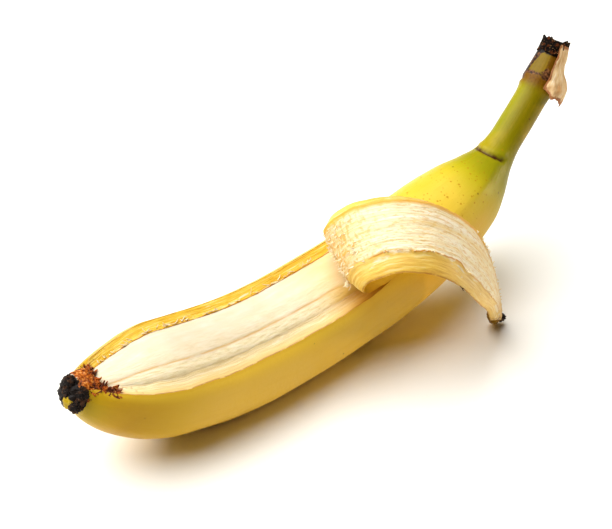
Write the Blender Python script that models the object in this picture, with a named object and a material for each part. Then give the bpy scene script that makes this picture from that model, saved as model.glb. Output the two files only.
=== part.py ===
"""A banana with one strip of peel torn open from the blossom end and folded back over the fruit.

Two bodies: the peel, which is the whole skin with its stem, its open window and the folded strip
in one piece, and the flesh, which runs right through the inside and shows in the window.

World units are metres, +Z up.  The driving dimensions below are in millimetres and degrees.
+X runs towards the stem and -Y is the side the strip hangs down on.  The origin is the middle of
the small flat the banana lies on.
"""
import math

import bmesh
import bpy
from mathutils import Matrix, Quaternion, Vector

MM = 0.001

# ---------------------------------------------------------------- the whole fruit
# Distance along the fruit from the blossom end, and the slope of its middle line there.
SLOPE = [(-3, -32), (8, -24), (16, -18), (26, -12.5), (44, -9.5), (56, -5.8), (72, 0), (88, 3.9),
         (112, 7.2), (128, 13), (144, 16.1), (156, 18), (168, 28.3), (176, 35.1), (192, 38.7),
         (208, 46), (220, 56)]
# Distance along the fruit, and its radius over the ridges.
RADIUS = [(-2.4, 3.2), (-1.2, 4.7), (0.8, 5.7), (2.6, 6.7), (4, 7.8), (8, 10.5), (16, 14.5),
          (24, 17.2), (32, 18.5), (44, 18.6), (72, 18.2), (104, 17.7), (128, 17.1), (144, 15.8),
          (152, 14.7), (160, 13.0), (168, 9.9), (176, 6.7), (184, 5.5), (198, 5.4), (205, 5.8),
          (213, 5.0), (220, 3.9)]
KNOB_RINGS = [-2.4, -1.6, -0.4, 1.0, 2.6, 4.0, 5.4]
STEM_END = 220.0
NECK = 182.0                    # where the fruit has become stem
BEND_LEAN = 12.0                # the plane the fruit curves in leans back by this much
MARGIN = 3                      # the middle line is worked out from this far before the zero

# Directions round the fruit are angles from its upper side, positive towards the front.
RIDGES = [60.0, 132.0, 193.0, 252.0, 310.0]
FACET_FLATNESS = 0.30           # 0 is round, 1 is a flat face between two ridges
TOP_FLATNESS = 0.12
RIDGES_START = 4.0              # the ridges rise from here over the next length
RIDGES_RISE = 12.0
RIDGES_FADE = 20.0              # and fade out over this length before the neck
# Distance along the fruit, and how far its soft underside has sagged there.
BELLY = [(34, 0), (54, 1.7), (84, 2.1), (112, 1.9), (142, 0)]
BELLY_ANGLE = 193.0
BELLY_FULL = 20.0               # the sag is whole this far round on each side
BELLY_EDGE = 48.0               # and has gone by here

# ---------------------------------------------------------------- peel, window and flesh
PEEL = 3.3                      # thickness of the peel
GAP = 0.35                      # between flesh and peel
WINDOW_START = 7.0
WINDOW_END = 118.0              # the root of the strip
FAR_TEAR = -25.0
# Distance along the fruit, and the angle of the tear on the front side.
NEAR_TEAR = [(0, 60), (20, 68), (60, 72), (100, 74), (118, 67)]
FAR_SLANT = 5.0                 # how much further the tear reaches on the inside of the peel
NEAR_SLANT = 12.0
HOLLOW_STARTS = [4.4, 5.4]      # the first two rings of the hollow
HOLLOW_END = 171.0
HOLLOW_DOME = 14.0              # length over which the hollow closes at the neck
HOLLOW_NECK = 10.5              # the hollow's radius where the dome begins
HOLLOW_CAP = 0.6                # the dome stops this far short, in a small flat cap
FLESH_START = 5.2
FLESH_SHORTER = 1.0             # how much sooner the flesh ends than the hollow

# ---------------------------------------------------------------- the strip
# Distance along the strip from its root, and how far it has turned over since the root.
TURN = [(0, 0), (9, 12), (17.5, 65), (25, 94), (41, 165), (60, 219), (79, 242), (96, 256),
        (116.5, 266)]
# Distance along the strip, and the slant of its creases to its width.
CREASE_SLANT = [(0, 0), (8, -24), (56, -2.5), (96, 32.5), (116.5, 58)]
# Distance along the strip, and its half width on each side of its middle line.
NEAR_WIDTH = [(0, 13.3), (15, 13.8), (33, 13.2), (76, 14), (98, 7.6), (110, 4.2), (116.5, 2.4)]
FAR_WIDTH = [(0, 13.3), (15, 12.6), (33, 13), (76, 14), (98, 7.6), (110, 4.2), (116.5, 2.4)]
STRIP_LENGTH = 116.5
STRIP_ROOT_ANGLE = 25.0         # where round the fruit the strip's middle line starts
STRIP_PITH = 3.0                # the strip's thickness
STRIP_SLANT = 3.0               # how much narrower the white side is at each edge
TIP_SLANT_SHARE = 0.6           # but never narrower by more than this share
LIFT = 9.0                      # length over which the strip leaves the shape of the fruit
SETS_OFF = Vector((-0.975, -0.062, -0.202))  # direction the strip sets off in, and faces
FACES = Vector((-0.19, -0.215, 0.96))

# ---------------------------------------------------------------- where it lies
REST_POINT = Vector((73.4, -2.95, -31.7))    # from the middle of the blossom end
FLAT_CUTTER = Vector((160.0, 40.0, 10.0))

# ---------------------------------------------------------------- fineness
WINDOW_COLUMNS = 8
FACET_COLUMNS = (3, 4, 4, 4, 2)  # from the near tear over each ridge to the far tear
WINDOW_RINGS = 24
NECK_RINGS = 14
STEM_RINGS = 8
STRIP_ROWS = 40
SHARP_EDGE = 40.0               # edges turning by more than this show as creases


def through(knots, x):
    """Value at x on a smooth curve through the knots that never overshoots between them."""
    xs = [float(knot[0]) for knot in knots]
    ys = [float(knot[1]) for knot in knots]
    x = min(max(x, xs[0]), xs[-1])
    last = len(xs) - 1
    rise = [(ys[i + 1] - ys[i]) / (xs[i + 1] - xs[i]) for i in range(last)]

    def tangent(i):
        if i == 0 or i == last:
            return rise[0 if i == 0 else -1]
        before, after = rise[i - 1], rise[i]
        return 0.0 if before * after <= 0 else 2 * before * after / (before + after)

    i = min(sum(1 for knot in xs[1:] if knot <= x), last - 1)
    span = xs[i + 1] - xs[i]
    t = (x - xs[i]) / span
    start = (1 + 2 * t) * (1 - t) ** 2 * ys[i] + t * (1 - t) ** 2 * span * tangent(i)
    end = t * t * (3 - 2 * t) * ys[i + 1] + t * t * (t - 1) * span * tangent(i + 1)
    return start + end


def steps(low, high, count):
    """Evenly spaced values from low up to but not including high."""
    return [low + (high - low) * i / count for i in range(count)]


def spine_table():
    """The fruit's middle line at each millimetre: place, direction, up side and front side."""
    lean = math.radians(BEND_LEAN)
    plane_up = Vector((0, math.sin(lean), math.cos(lean)))
    front = Vector((0, -math.cos(lean), math.sin(lean)))
    rows = []
    place = Vector((0, 0, 0))
    for s in range(-MARGIN, int(STEM_END) + 1):
        slope = math.radians(through(SLOPE, s))
        ahead = Vector((math.cos(slope), 0, 0)) + math.sin(slope) * plane_up
        rows.append((place.copy(), ahead, front.cross(ahead), front))
        middle = math.radians(through(SLOPE, s + 0.5))
        place += Vector((math.cos(middle), 0, 0)) + math.sin(middle) * plane_up
    start = rows[MARGIN][0]
    return [(at - start, ahead, up, side) for at, ahead, up, side in rows]


SPINE = spine_table()


def spine(s):
    """Place, direction, up side and front side of the middle line at distance s."""
    k = min(max(s + MARGIN, 0.0), len(SPINE) - 1.001)
    i = int(k)
    low, high = SPINE[i], SPINE[i + 1]
    return [a.lerp(b, k - i) for a, b in zip(low, high)]


def roundness(angle):
    """Radius at an angle round the fruit, as a share of the radius over the ridges."""
    turned = (angle - RIDGES[-1]) % 360.0 + RIDGES[-1]
    corners = [RIDGES[-1]] + [ridge + 360.0 for ridge in RIDGES]
    for low, high in zip(corners, corners[1:]):
        if turned <= high:
            half = math.radians(high - low) / 2
            off = math.radians(turned - (low + high) / 2)
            flat = TOP_FLATNESS if low == RIDGES[-1] else FACET_FLATNESS
            return 1 - flat * (1 - math.cos(half) / math.cos(off))
    return 1.0


def on_fruit(s, angle, radius):
    """The point at distance s and an angle round the fruit, with a radius over the ridges."""
    at, _, up, front = spine(s)
    turn = math.radians(angle)
    return at + radius * (math.cos(turn) * up + math.sin(turn) * front)


def sag(s, angle):
    """How far the soft underside has sagged outwards at a place."""
    off = abs((angle - BELLY_ANGLE + 180.0) % 360.0 - 180.0)
    share = min(1.0, max(0.0, (BELLY_EDGE - off) / (BELLY_EDGE - BELLY_FULL)))
    return through(BELLY, s) * share * share * (3 - 2 * share)


def unsagged_radius(s, angle):
    """Outer radius of a fruit that hangs free, round where it has become knob or stem."""
    ridged = max(0.0, min(1.0, (s - RIDGES_START) / RIDGES_RISE, (NECK - s) / RIDGES_FADE))
    return through(RADIUS, s) * (1 + ridged * (roundness(angle) - 1))


def skin_radius(s, angle):
    """Outer radius of the peel as it lies."""
    return unsagged_radius(s, angle) + sag(s, angle)


def hollow_radius(s, angle, shorter=0.0):
    """Radius of the hollow in the peel, closing in a dome at each end."""
    wall = unsagged_radius(s, angle) - PEEL
    left = max(0.0, HOLLOW_END - shorter - s) / HOLLOW_DOME
    neck = HOLLOW_NECK * math.sqrt(max(0.0, 1 - (1 - min(1.0, left)) ** 2))
    return min(wall, neck) if left < 1 else wall


def columns(s, inside=False):
    """Angles round the fruit: the window's columns first, then the rest of the way round."""
    far = FAR_TEAR + (FAR_SLANT if inside else 0)
    near = through(NEAR_TEAR, s) - (NEAR_SLANT if inside else 0)
    angles = steps(far, near, WINDOW_COLUMNS)
    corners = [near] + RIDGES[1:] + [far + 360.0]
    for low, high, count in zip(corners, corners[1:], FACET_COLUMNS):
        angles += steps(low, high, count)
    return angles


WINDOW_STATIONS = steps(WINDOW_START, WINDOW_END, WINDOW_RINGS) + [WINDOW_END]
NECK_STATIONS = steps(WINDOW_END, NECK, NECK_RINGS)[1:]
STEM_STATIONS = steps(NECK, STEM_END, STEM_RINGS) + [STEM_END]


def hollow_stations(end):
    """Distances along the window and on into the dome of a hollow that ends at end."""
    cap = end - HOLLOW_CAP
    return WINDOW_STATIONS + [s for s in NECK_STATIONS if s < cap - 1] + [cap]


def ring(bm, s, angles, radius_at):
    """One closed ring of vertices round the fruit."""
    return [bm.verts.new(on_fruit(s, angle, radius_at(s, angle))) for angle in angles]


def join_rings(bm, low, high, first=0):
    """Quads between two closed rings, leaving out the columns before the first."""
    count = len(low)
    for k in range(first, count):
        bm.faces.new((low[k], low[(k + 1) % count], high[(k + 1) % count], high[k]))


def strip_frames():
    """The strip's middle line each millimetre: place, direction, width direction and face."""
    root_radius = skin_radius(WINDOW_END, STRIP_ROOT_ANGLE)
    place = on_fruit(WINDOW_END, STRIP_ROOT_ANGLE, root_radius)
    ahead = SETS_OFF.normalized()
    face = (FACES - FACES.dot(ahead) * ahead).normalized()
    across = ahead.cross(face)
    frames = [(place.copy(), ahead, across, face)]
    for u in range(math.ceil(STRIP_LENGTH)):
        slant = math.radians(through(CREASE_SLANT, u + 0.5))
        crease = math.cos(slant) * across + math.sin(slant) * ahead
        turn = math.radians(through(TURN, u + 1) - through(TURN, u))
        half, whole = Quaternion(crease, turn / 2), Quaternion(crease, turn)
        place = place + half @ ahead
        ahead, across, face = whole @ ahead, whole @ across, whole @ face
        frames.append((place.copy(), ahead, across, face))
    return frames


STRIP = strip_frames()


def strip_row(u, inside=False):
    """The points across the strip at distance u, from its far edge to its near edge."""
    k = min(u, STRIP_LENGTH - 0.001)
    i = int(k)
    place, ahead, across, face = [a.lerp(b, k - i) for a, b in zip(STRIP[i], STRIP[i + 1])]
    slant = math.radians(through(CREASE_SLANT, u))
    crease = math.cos(slant) * across + math.sin(slant) * ahead
    blend = min(1.0, u / LIFT)
    blend = blend * blend * (3 - 2 * blend)
    narrower = STRIP_SLANT if inside else 0.0
    depth = STRIP_PITH if inside else 0.0
    points = []
    for column in range(WINDOW_COLUMNS + 1):
        share = 1 - 2 * column / WINDOW_COLUMNS
        widths = FAR_WIDTH if share > 0 else NEAR_WIDTH
        reach = through(widths, u) * share
        at = min(max(u + reach * math.tan(slant), 0.0), STRIP_LENGTH)
        width = through(widths, at)
        reach = (width - min(narrower, TIP_SLANT_SHARE * width)) * share
        free = place + crease * (reach / math.cos(slant)) - face * depth
        s = WINDOW_END - at
        angle = columns(s, inside)[column]
        wall = hollow_radius(s, angle) if inside else skin_radius(s, angle)
        points.append(on_fruit(s, angle, wall).lerp(free, blend))
    return points


def sheet(bm, stations, inside):
    """One side of the peel, open at the window, with the strip; returns its edge in order."""
    radius_at = hollow_radius if inside else skin_radius
    rings = [ring(bm, s, columns(s, inside), radius_at) for s in stations]
    first = stations.index(WINDOW_STATIONS[0])
    root = stations.index(WINDOW_END)
    for i in range(len(rings) - 1):
        join_rings(bm, rings[i], rings[i + 1], WINDOW_COLUMNS if first <= i < root else 0)
    bm.faces.new(rings[0])
    bm.faces.new(rings[-1])
    rows = [rings[root][:WINDOW_COLUMNS + 1]]
    for r in range(1, STRIP_ROWS + 1):
        points = strip_row(STRIP_LENGTH * r / STRIP_ROWS, inside)
        rows.append([bm.verts.new(point) for point in points])
    for low, high in zip(rows, rows[1:]):
        for k in range(WINDOW_COLUMNS):
            bm.faces.new((low[k], low[k + 1], high[k + 1], high[k]))
    near = [rings[i][WINDOW_COLUMNS] for i in range(root, first, -1)]
    end = [rings[first][k] for k in range(WINDOW_COLUMNS, 0, -1)]
    far = [rings[i][0] for i in range(first, root + 1)]
    strip_far = [row[0] for row in rows[1:]]
    tip = rows[-1][1:]
    strip_near = [row[-1] for row in reversed(rows[1:-1])]
    return near + end + far + strip_far + tip + strip_near


def finished(bm, name, collection, material):
    """Turn a closed bmesh into an object that lies on the ground plane."""
    bmesh.ops.recalc_face_normals(bm, faces=bm.faces)
    bmesh.ops.transform(bm, matrix=Matrix.Scale(MM, 4) @ Matrix.Translation(-REST_POINT),
                        verts=bm.verts)
    mesh = bpy.data.meshes.new(name)
    bm.to_mesh(mesh)
    bm.free()
    mesh.materials.append(material)
    mesh.shade_smooth()
    mesh.set_sharp_from_angle(angle=math.radians(SHARP_EDGE))
    item = bpy.data.objects.new(name, mesh)
    collection.objects.link(item)
    return item


def material(name, colour, roughness):
    """A plain finish for one sub-part."""
    finish = bpy.data.materials.new(name)
    finish.use_nodes = True
    shader = finish.node_tree.nodes["Principled BSDF"]
    shader.inputs["Base Color"].default_value = (*colour, 1.0)
    shader.inputs["Roughness"].default_value = roughness
    return finish


def make_peel(collection):
    """The skin: an outer and an inner side, joined all along the tear."""
    bm = bmesh.new()
    outer = sheet(bm, KNOB_RINGS + WINDOW_STATIONS + NECK_STATIONS + STEM_STATIONS, False)
    inner = sheet(bm, HOLLOW_STARTS + hollow_stations(HOLLOW_END), True)
    count = len(outer)
    for i in range(count):
        j = (i + 1) % count
        bm.faces.new((outer[i], outer[j], inner[j], inner[i]))
    return finished(bm, "peel", collection, material("peel_skin", (0.80, 0.56, 0.07), 0.45))


def make_flesh(collection):
    """The edible inside: one solid from blossom end to neck, a little smaller than the hollow."""
    bm = bmesh.new()

    def radius_at(s, angle):
        return hollow_radius(s, angle, shorter=FLESH_SHORTER) - GAP

    stations = [FLESH_START] + hollow_stations(HOLLOW_END - FLESH_SHORTER)
    rings = [ring(bm, s, columns(s, True), radius_at) for s in stations]
    for low, high in zip(rings, rings[1:]):
        join_rings(bm, low, high)
    bm.faces.new(rings[0])
    bm.faces.new(rings[-1])
    return finished(bm, "flesh", collection, material("banana_flesh", (0.87, 0.74, 0.49), 0.55))


def lay_flat(item, cutters):
    """Cut the small flat that the banana lies on, at the ground plane."""
    cutter_size = FLAT_CUTTER * MM
    bpy.ops.mesh.primitive_cube_add(size=1, location=(0, 0, -cutter_size.z / 2))
    cutter = bpy.context.object
    cutter.name = "ground_cutter"
    cutter.scale = cutter_size
    cutter.hide_render = True
    cutter.display_type = "WIRE"
    for owner in list(cutter.users_collection):
        owner.objects.unlink(cutter)
    cutters.objects.link(cutter)
    cut = item.modifiers.new("flat", "BOOLEAN")
    cut.operation = "DIFFERENCE"
    cut.object = cutter


def main():
    for item in list(bpy.data.objects):
        bpy.data.objects.remove(item, do_unlink=True)
    parts = bpy.data.collections.new("peeled_banana")
    cutters = bpy.data.collections.new("cutters")
    for collection in (parts, cutters):
        bpy.context.scene.collection.children.link(collection)
    peel = make_peel(parts)
    make_flesh(parts)
    lay_flat(peel, cutters)


main()
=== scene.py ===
"""A banana with one strip of its peel torn open and folded back over the fruit.

The peel with its folded strip, the soft flesh, the dried blossom scar, the cut stem
with its papery sheath, the tip of the strip and the loose fibres are each a piece of
their own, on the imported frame.  Lengths are in millimetres and angles in degrees
until a mesh is written, which is in metres.  +X runs towards the stem, +Z is up, and
the strip hangs down on the -Y side.
"""
from __future__ import annotations

import logging
import math
import random
from dataclasses import dataclass, field
from enum import Enum
from typing import Callable, Iterable, Sequence

import bmesh
import bpy
from mathutils import Matrix, Quaternion, Vector, noise

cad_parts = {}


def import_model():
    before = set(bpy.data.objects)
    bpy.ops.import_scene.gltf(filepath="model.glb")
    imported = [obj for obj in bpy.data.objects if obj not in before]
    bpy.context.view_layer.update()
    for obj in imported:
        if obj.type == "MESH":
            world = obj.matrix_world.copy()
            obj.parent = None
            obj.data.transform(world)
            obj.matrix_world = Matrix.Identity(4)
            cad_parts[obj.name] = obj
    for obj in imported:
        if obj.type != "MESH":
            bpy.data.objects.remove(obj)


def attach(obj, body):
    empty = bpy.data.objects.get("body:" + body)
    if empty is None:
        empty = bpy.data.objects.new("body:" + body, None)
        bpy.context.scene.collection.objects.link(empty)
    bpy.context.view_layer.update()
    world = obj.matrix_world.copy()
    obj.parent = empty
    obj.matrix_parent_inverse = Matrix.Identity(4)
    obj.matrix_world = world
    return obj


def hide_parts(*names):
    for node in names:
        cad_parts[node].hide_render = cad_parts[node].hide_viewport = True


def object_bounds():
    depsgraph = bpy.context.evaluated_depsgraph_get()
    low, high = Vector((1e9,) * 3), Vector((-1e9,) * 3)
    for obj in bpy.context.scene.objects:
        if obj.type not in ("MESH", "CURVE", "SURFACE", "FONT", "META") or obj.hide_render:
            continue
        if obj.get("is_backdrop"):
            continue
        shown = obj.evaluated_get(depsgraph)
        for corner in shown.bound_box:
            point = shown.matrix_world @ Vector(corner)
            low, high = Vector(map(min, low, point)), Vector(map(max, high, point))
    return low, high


LOG = logging.getLogger("banana")
MM = 0.001
SHARP = math.radians(50)         # edges sharper than this stay crisp
Socket = bpy.types.NodeSocket
Stops = Sequence[tuple[float, str]]


# ------------------------------------------------------------------ small tools
@dataclass(frozen=True)
class Curve:
    """A smooth curve through knots that never overshoots between them."""

    knots: tuple[tuple[float, float], ...]

    def at(self, x: float) -> float:
        """Value of the curve at x, held level beyond its ends."""
        knots = self.knots
        last = len(knots) - 1
        x = min(max(x, knots[0][0]), knots[last][0])
        i = 0
        while i < last - 1 and knots[i + 1][0] <= x:
            i += 1
        (x0, y0), (x1, y1) = knots[i], knots[i + 1]
        span = x1 - x0
        rise = (y1 - y0) / span
        before = rise if i == 0 else (y0 - knots[i - 1][1]) / (x0 - knots[i - 1][0])
        after = rise if i == last - 1 else (knots[i + 2][1] - y1) / (knots[i + 2][0] - x1)
        start = 0.0 if before * rise <= 0 else 2 * before * rise / (before + rise)
        end = 0.0 if after * rise <= 0 else 2 * after * rise / (after + rise)
        t = (x - x0) / span
        low = (1 + 2 * t) * (1 - t) ** 2 * y0 + t * (1 - t) ** 2 * span * start
        return low + t * t * (3 - 2 * t) * y1 + t * t * (t - 1) * span * end


def ease(x: float, low: float = 0.0, high: float = 1.0) -> float:
    """Rise smoothly from 0 at low to 1 at high; low above high falls instead.

    Args:
        x: Where to read the rise.
        low: Where it is still 0.
        high: Where it has reached 1.

    Returns:
        A share from 0 to 1.
    """
    t = min(1.0, max(0.0, (x - low) / (high - low)))
    return t * t * (3 - 2 * t)


def bump(x: float, middle: float, reach: float) -> float:
    """A bell of height 1 at the middle that has all but gone at twice its reach."""
    return math.exp(-(((x - middle) / reach) ** 2))


def wander(x: float, y: float = 0.0, z: float = 0.0) -> float:
    """Smooth noise from -1 to 1 at a place."""
    return noise.noise(Vector((x, y, z)))


def only(item: bpy.types.Object) -> None:
    """Select one object alone and make it the active one."""
    bpy.ops.object.select_all(action="DESELECT")
    item.select_set(True)
    bpy.context.view_layer.objects.active = item


def edit_selection(item: bpy.types.Object, mode: str,
                   pick: Callable[[bmesh.types.BMesh], None]) -> None:
    """Enter edit mode with nothing selected but what pick selects.

    Args:
        item: The mesh object to edit.
        mode: What is selected, EDGE or FACE.
        pick: Called with the edit mesh; selects what the next operator acts on.
    """
    only(item)
    bpy.ops.object.mode_set(mode="EDIT")
    bpy.ops.mesh.select_mode(type=mode)
    bpy.ops.mesh.select_all(action="DESELECT")
    work = bmesh.from_edit_mesh(item.data)
    pick(work)
    work.select_flush_mode()
    bmesh.update_edit_mesh(item.data)


def number(mesh: bpy.types.Mesh, name: str, values: Sequence[float]) -> None:
    """Store one number per vertex as a named attribute."""
    layer = mesh.attributes.get(name) or mesh.attributes.new(name, "FLOAT", "POINT")
    layer.data.foreach_set("value", list(values))


def numbers(mesh: bpy.types.Mesh, name: str) -> list[float]:
    """Read a named attribute, one number per vertex."""
    values = [0.0] * len(mesh.vertices)
    mesh.attributes[name].data.foreach_get("value", values)
    return values


def marks(mesh: bpy.types.Mesh, *names: str) -> Iterable[tuple[float, ...]]:
    """Read several named attributes together, one row of numbers per vertex."""
    return zip(*(numbers(mesh, name) for name in names))


def grain(mesh: bpy.types.Mesh, values: Sequence[Vector]) -> None:
    """Store where each vertex is on the surface, in millimetres along, around and through."""
    layer = mesh.attributes.new("grain", "FLOAT_VECTOR", "POINT")
    layer.data.foreach_set("vector", [part for value in values for part in value])


def sheet(name: str, rows: int, columns: int) -> bpy.types.Object:
    """Add a flat grid whose vertices know their row and column.

    Args:
        name: Name of the new object.
        rows: Number of faces one way.
        columns: Number of faces the other way.

    Returns:
        The grid, with the attributes row and column.
    """
    bpy.ops.object.select_all(action="DESELECT")
    bpy.ops.mesh.primitive_grid_add(x_subdivisions=rows, y_subdivisions=columns, size=2)
    item = bpy.context.object
    item.name = item.data.name = name
    places = [vertex.co for vertex in item.data.vertices]
    number(item.data, "row", [round((place.x + 1) / 2 * rows) for place in places])
    number(item.data, "column", [round((place.y + 1) / 2 * columns) for place in places])
    return item


def place_vertices(item: bpy.types.Object, spots: Sequence[Vector]) -> None:
    """Move each vertex to a place given in millimetres."""
    item.data.vertices.foreach_set("co", [part * MM for spot in spots for part in spot])
    item.data.update()


def merge(item: bpy.types.Object, threshold: float = 0.00002) -> None:
    """Join vertices that meet, as at a seam or a pole."""
    only(item)
    bpy.ops.object.mode_set(mode="EDIT")
    bpy.ops.mesh.select_all(action="SELECT")
    bpy.ops.mesh.remove_doubles(threshold=threshold)
    bpy.ops.object.mode_set(mode="OBJECT")


def raise_relief(item: bpy.types.Object, heights: Sequence[float]) -> None:
    """Move each vertex out along its normal by a height in millimetres."""
    mesh = item.data
    spots = [vertex.co / MM + normal.vector * height for vertex, normal, height
             in zip(mesh.vertices, mesh.vertex_normals, heights)]
    place_vertices(item, spots)


def face_out(item: bpy.types.Object, sharp: float = SHARP) -> None:
    """Turn all faces outwards and shade them smooth up to a sharp angle."""
    only(item)
    bpy.ops.object.mode_set(mode="EDIT")
    bpy.ops.mesh.select_all(action="SELECT")
    bpy.ops.mesh.normals_make_consistent(inside=False)
    bpy.ops.object.mode_set(mode="OBJECT")
    bpy.ops.object.shade_smooth_by_angle(angle=sharp)


def stiffen(item: bpy.types.Object, thickness: float) -> None:
    """Give a thin sheet its thickness in millimetres, half to each side."""
    only(item)
    solid = item.modifiers.new("thickness", "SOLIDIFY")
    solid.thickness = thickness * MM
    solid.offset = 0
    bpy.ops.object.modifier_apply(modifier=solid.name)
    bpy.ops.object.shade_smooth_by_angle(angle=SHARP)


def lift(item: bpy.types.Object, height: float) -> None:
    """Move a piece up, if it has to be, until its lowest point is at a height."""
    low = height - min(vertex.co.z for vertex in item.data.vertices) / MM
    item.data.transform(Matrix.Translation((0, 0, max(0.0, low) * MM)))


def joined(items: Sequence[bpy.types.Object], name: str, finish: Finish) -> bpy.types.Object:
    """Join several objects into one piece with a name and a finish."""
    bpy.ops.object.select_all(action="DESELECT")
    for item in items:
        item.select_set(True)
    bpy.context.view_layer.objects.active = items[0]
    bpy.ops.object.join()
    whole = bpy.context.view_layer.objects.active
    whole.name = whole.data.name = name
    whole.data.materials.append(finish.make())
    return whole


# ------------------------------------------------------------------ finishes
def linear(code: str) -> tuple[float, float, float, float]:
    """Turn an sRGB hex code to a linear colour."""
    parts = [int(code[i:i + 2], 16) / 255 for i in (1, 3, 5)]
    red, green, blue = (p / 12.92 if p <= 0.04045 else ((p + 0.055) / 1.055) ** 2.4
                        for p in parts)
    return red, green, blue, 1.0


def add_node(tree: bpy.types.NodeTree, kind: str, inputs: dict | None = None,
             stops: Stops = (), **settings) -> bpy.types.Node:
    """Add a node with its settings, values and links.

    Args:
        tree: The node tree of a material.
        kind: The node's type name.
        inputs: Socket name or number, to a value, a hex colour or a socket to link from.
        stops: Places and hex colours of a colour ramp.
        settings: Properties of the node itself.

    Returns:
        The new node.
    """
    node = tree.nodes.new(kind)
    for key, value in settings.items():
        setattr(node, key, value)
    for key, value in (inputs or {}).items():
        if isinstance(value, bpy.types.NodeSocket):
            tree.links.new(value, node.inputs[key])
        else:
            node.inputs[key].default_value = linear(value) if isinstance(value, str) else value
    if stops:
        marks = node.color_ramp.elements
        while len(marks) < len(stops):
            marks.new(0.5)
        for mark, (place, _) in zip(marks, stops):
            mark.position = place
        for mark, (_, code) in zip(marks, stops):
            mark.color = linear(code)
    return node


@dataclass(frozen=True)
class Brush:
    """The patterns and mixes that every finish is painted with, on one node tree.

    Each method adds nodes and gives back the socket that holds the result.
    """

    tree: bpy.types.NodeTree

    def mark(self, name: str) -> Socket:
        """Read a number stored on the mesh."""
        return add_node(self.tree, "ShaderNodeAttribute", attribute_name=name).outputs["Fac"]

    def combine(self, how: str, first: Socket | float, second: Socket | float) -> Socket:
        """Combine two values with a math operation."""
        return add_node(self.tree, "ShaderNodeMath", {0: first, 1: second},
                        operation=how).outputs[0]

    def add(self, first: Socket | float, second: Socket | float) -> Socket:
        """Add two values."""
        return self.combine("ADD", first, second)

    def times(self, first: Socket | float, second: Socket | float) -> Socket:
        """Multiply two values."""
        return self.combine("MULTIPLY", first, second)

    def less(self, first: Socket | float, second: Socket | float) -> Socket:
        """Take the second value from the first."""
        return self.combine("SUBTRACT", first, second)

    def span(self, value: Socket, low: float, high: float, top: float = 1.0) -> Socket:
        """Bring a value from between low and high to between 0 and top, smoothly."""
        return add_node(self.tree, "ShaderNodeMapRange",
                        {"Value": value, "From Min": low, "From Max": high, "To Max": top},
                        interpolation_type="SMOOTHSTEP").outputs[0]

    def over(self, share: Socket, under: Socket | str, top: Socket | str) -> Socket:
        """Lay one colour over another by a share."""
        return add_node(self.tree, "ShaderNodeMix", {0: share, 6: under, 7: top},
                        data_type="RGBA").outputs[2]

    def ramp(self, value: Socket, stops: Stops) -> Socket:
        """Colour a value by a row of places and colours."""
        return add_node(self.tree, "ShaderNodeValToRGB", {0: value}, stops=stops).outputs[0]

    def streaks(self, long: float, wide: float, detail: float = 3.0, through: float = 2.0,
                rough: float = 0.55) -> Socket:
        """Noise drawn out along the grain.

        Args:
            long: Length of a streak in millimetres.
            wide: Its width in millimetres.
            detail: How much finer detail it has.
            through: Its size through the wall in millimetres.
            rough: How strong the finer detail is.

        Returns:
            The noise, from 0 to 1.
        """
        where = add_node(self.tree, "ShaderNodeAttribute", attribute_name="grain")
        scaled = add_node(self.tree, "ShaderNodeVectorMath",
                          {0: where.outputs["Vector"], 1: (1 / long, 1 / wide, 1 / through)},
                          operation="MULTIPLY")
        return add_node(self.tree, "ShaderNodeTexNoise",
                        {"Vector": scaled.outputs[0], "Scale": 1.0, "Detail": detail,
                         "Roughness": rough}).outputs[0]

    def blobs(self, size: float, detail: float = 3.0) -> Socket:
        """Even noise whose lumps have a size in millimetres, from 0 to 1."""
        where = add_node(self.tree, "ShaderNodeTexCoord")
        return add_node(self.tree, "ShaderNodeTexNoise",
                        {"Vector": where.outputs["Object"], "Scale": 1 / (size * MM),
                         "Detail": detail}).outputs[0]

    def ragged(self, name: str, rough: Socket, amount: float) -> Socket:
        """Read a number stored on the mesh and break its edges up with noise.

        Args:
            name: The number's name.
            rough: The noise, from 0 to 1.
            amount: How much the noise adds or takes away in all.

        Returns:
            The broken-up number.
        """
        return self.add(self.mark(name), self.times(self.less(rough, 0.5), amount))

    def freckles(self, under: Socket, spots: Spots) -> Socket:
        """Scatter small irregular spots where the mesh says so.

        Args:
            under: The colour the spots lie on.
            spots: What the spots are like.

        Returns:
            The colour with the spots on it.
        """
        place = add_node(self.tree, "ShaderNodeTexCoord").outputs["Object"]
        cells = add_node(self.tree, "ShaderNodeTexVoronoi",
                         {"Vector": place, "Scale": 1 / (spots.apart * MM), "Randomness": 1.0})
        pick = add_node(self.tree, "ShaderNodeSeparateColor", {0: cells.outputs["Color"]})
        uneven = self.add(cells.outputs["Distance"],
                          self.times(self.blobs(spots.apart * spots.nibble), spots.uneven))
        sized = self.times(pick.outputs[0], spots.largest)
        inside = self.span(self.less(uneven, sized), spots.blur, spots.core, spots.strength)
        chosen = self.span(self.less(self.mark(spots.where), pick.outputs[1]), 0.0, 0.05)
        return self.over(self.times(inside, chosen), under, spots.colour)


@dataclass(frozen=True)
class Spots:
    """A scatter of small spots; sizes within a spot are shares of the spacing."""

    where: str                  # the number on the mesh that says how many there are
    colour: str
    apart: float                # the spacing in millimetres
    largest: float
    strength: float
    nibble: float = 0.25        # size of the noise that makes the spots uneven
    uneven: float = 0.12        # how much it does
    blur: float = 0.14
    core: float = 0.04


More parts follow.
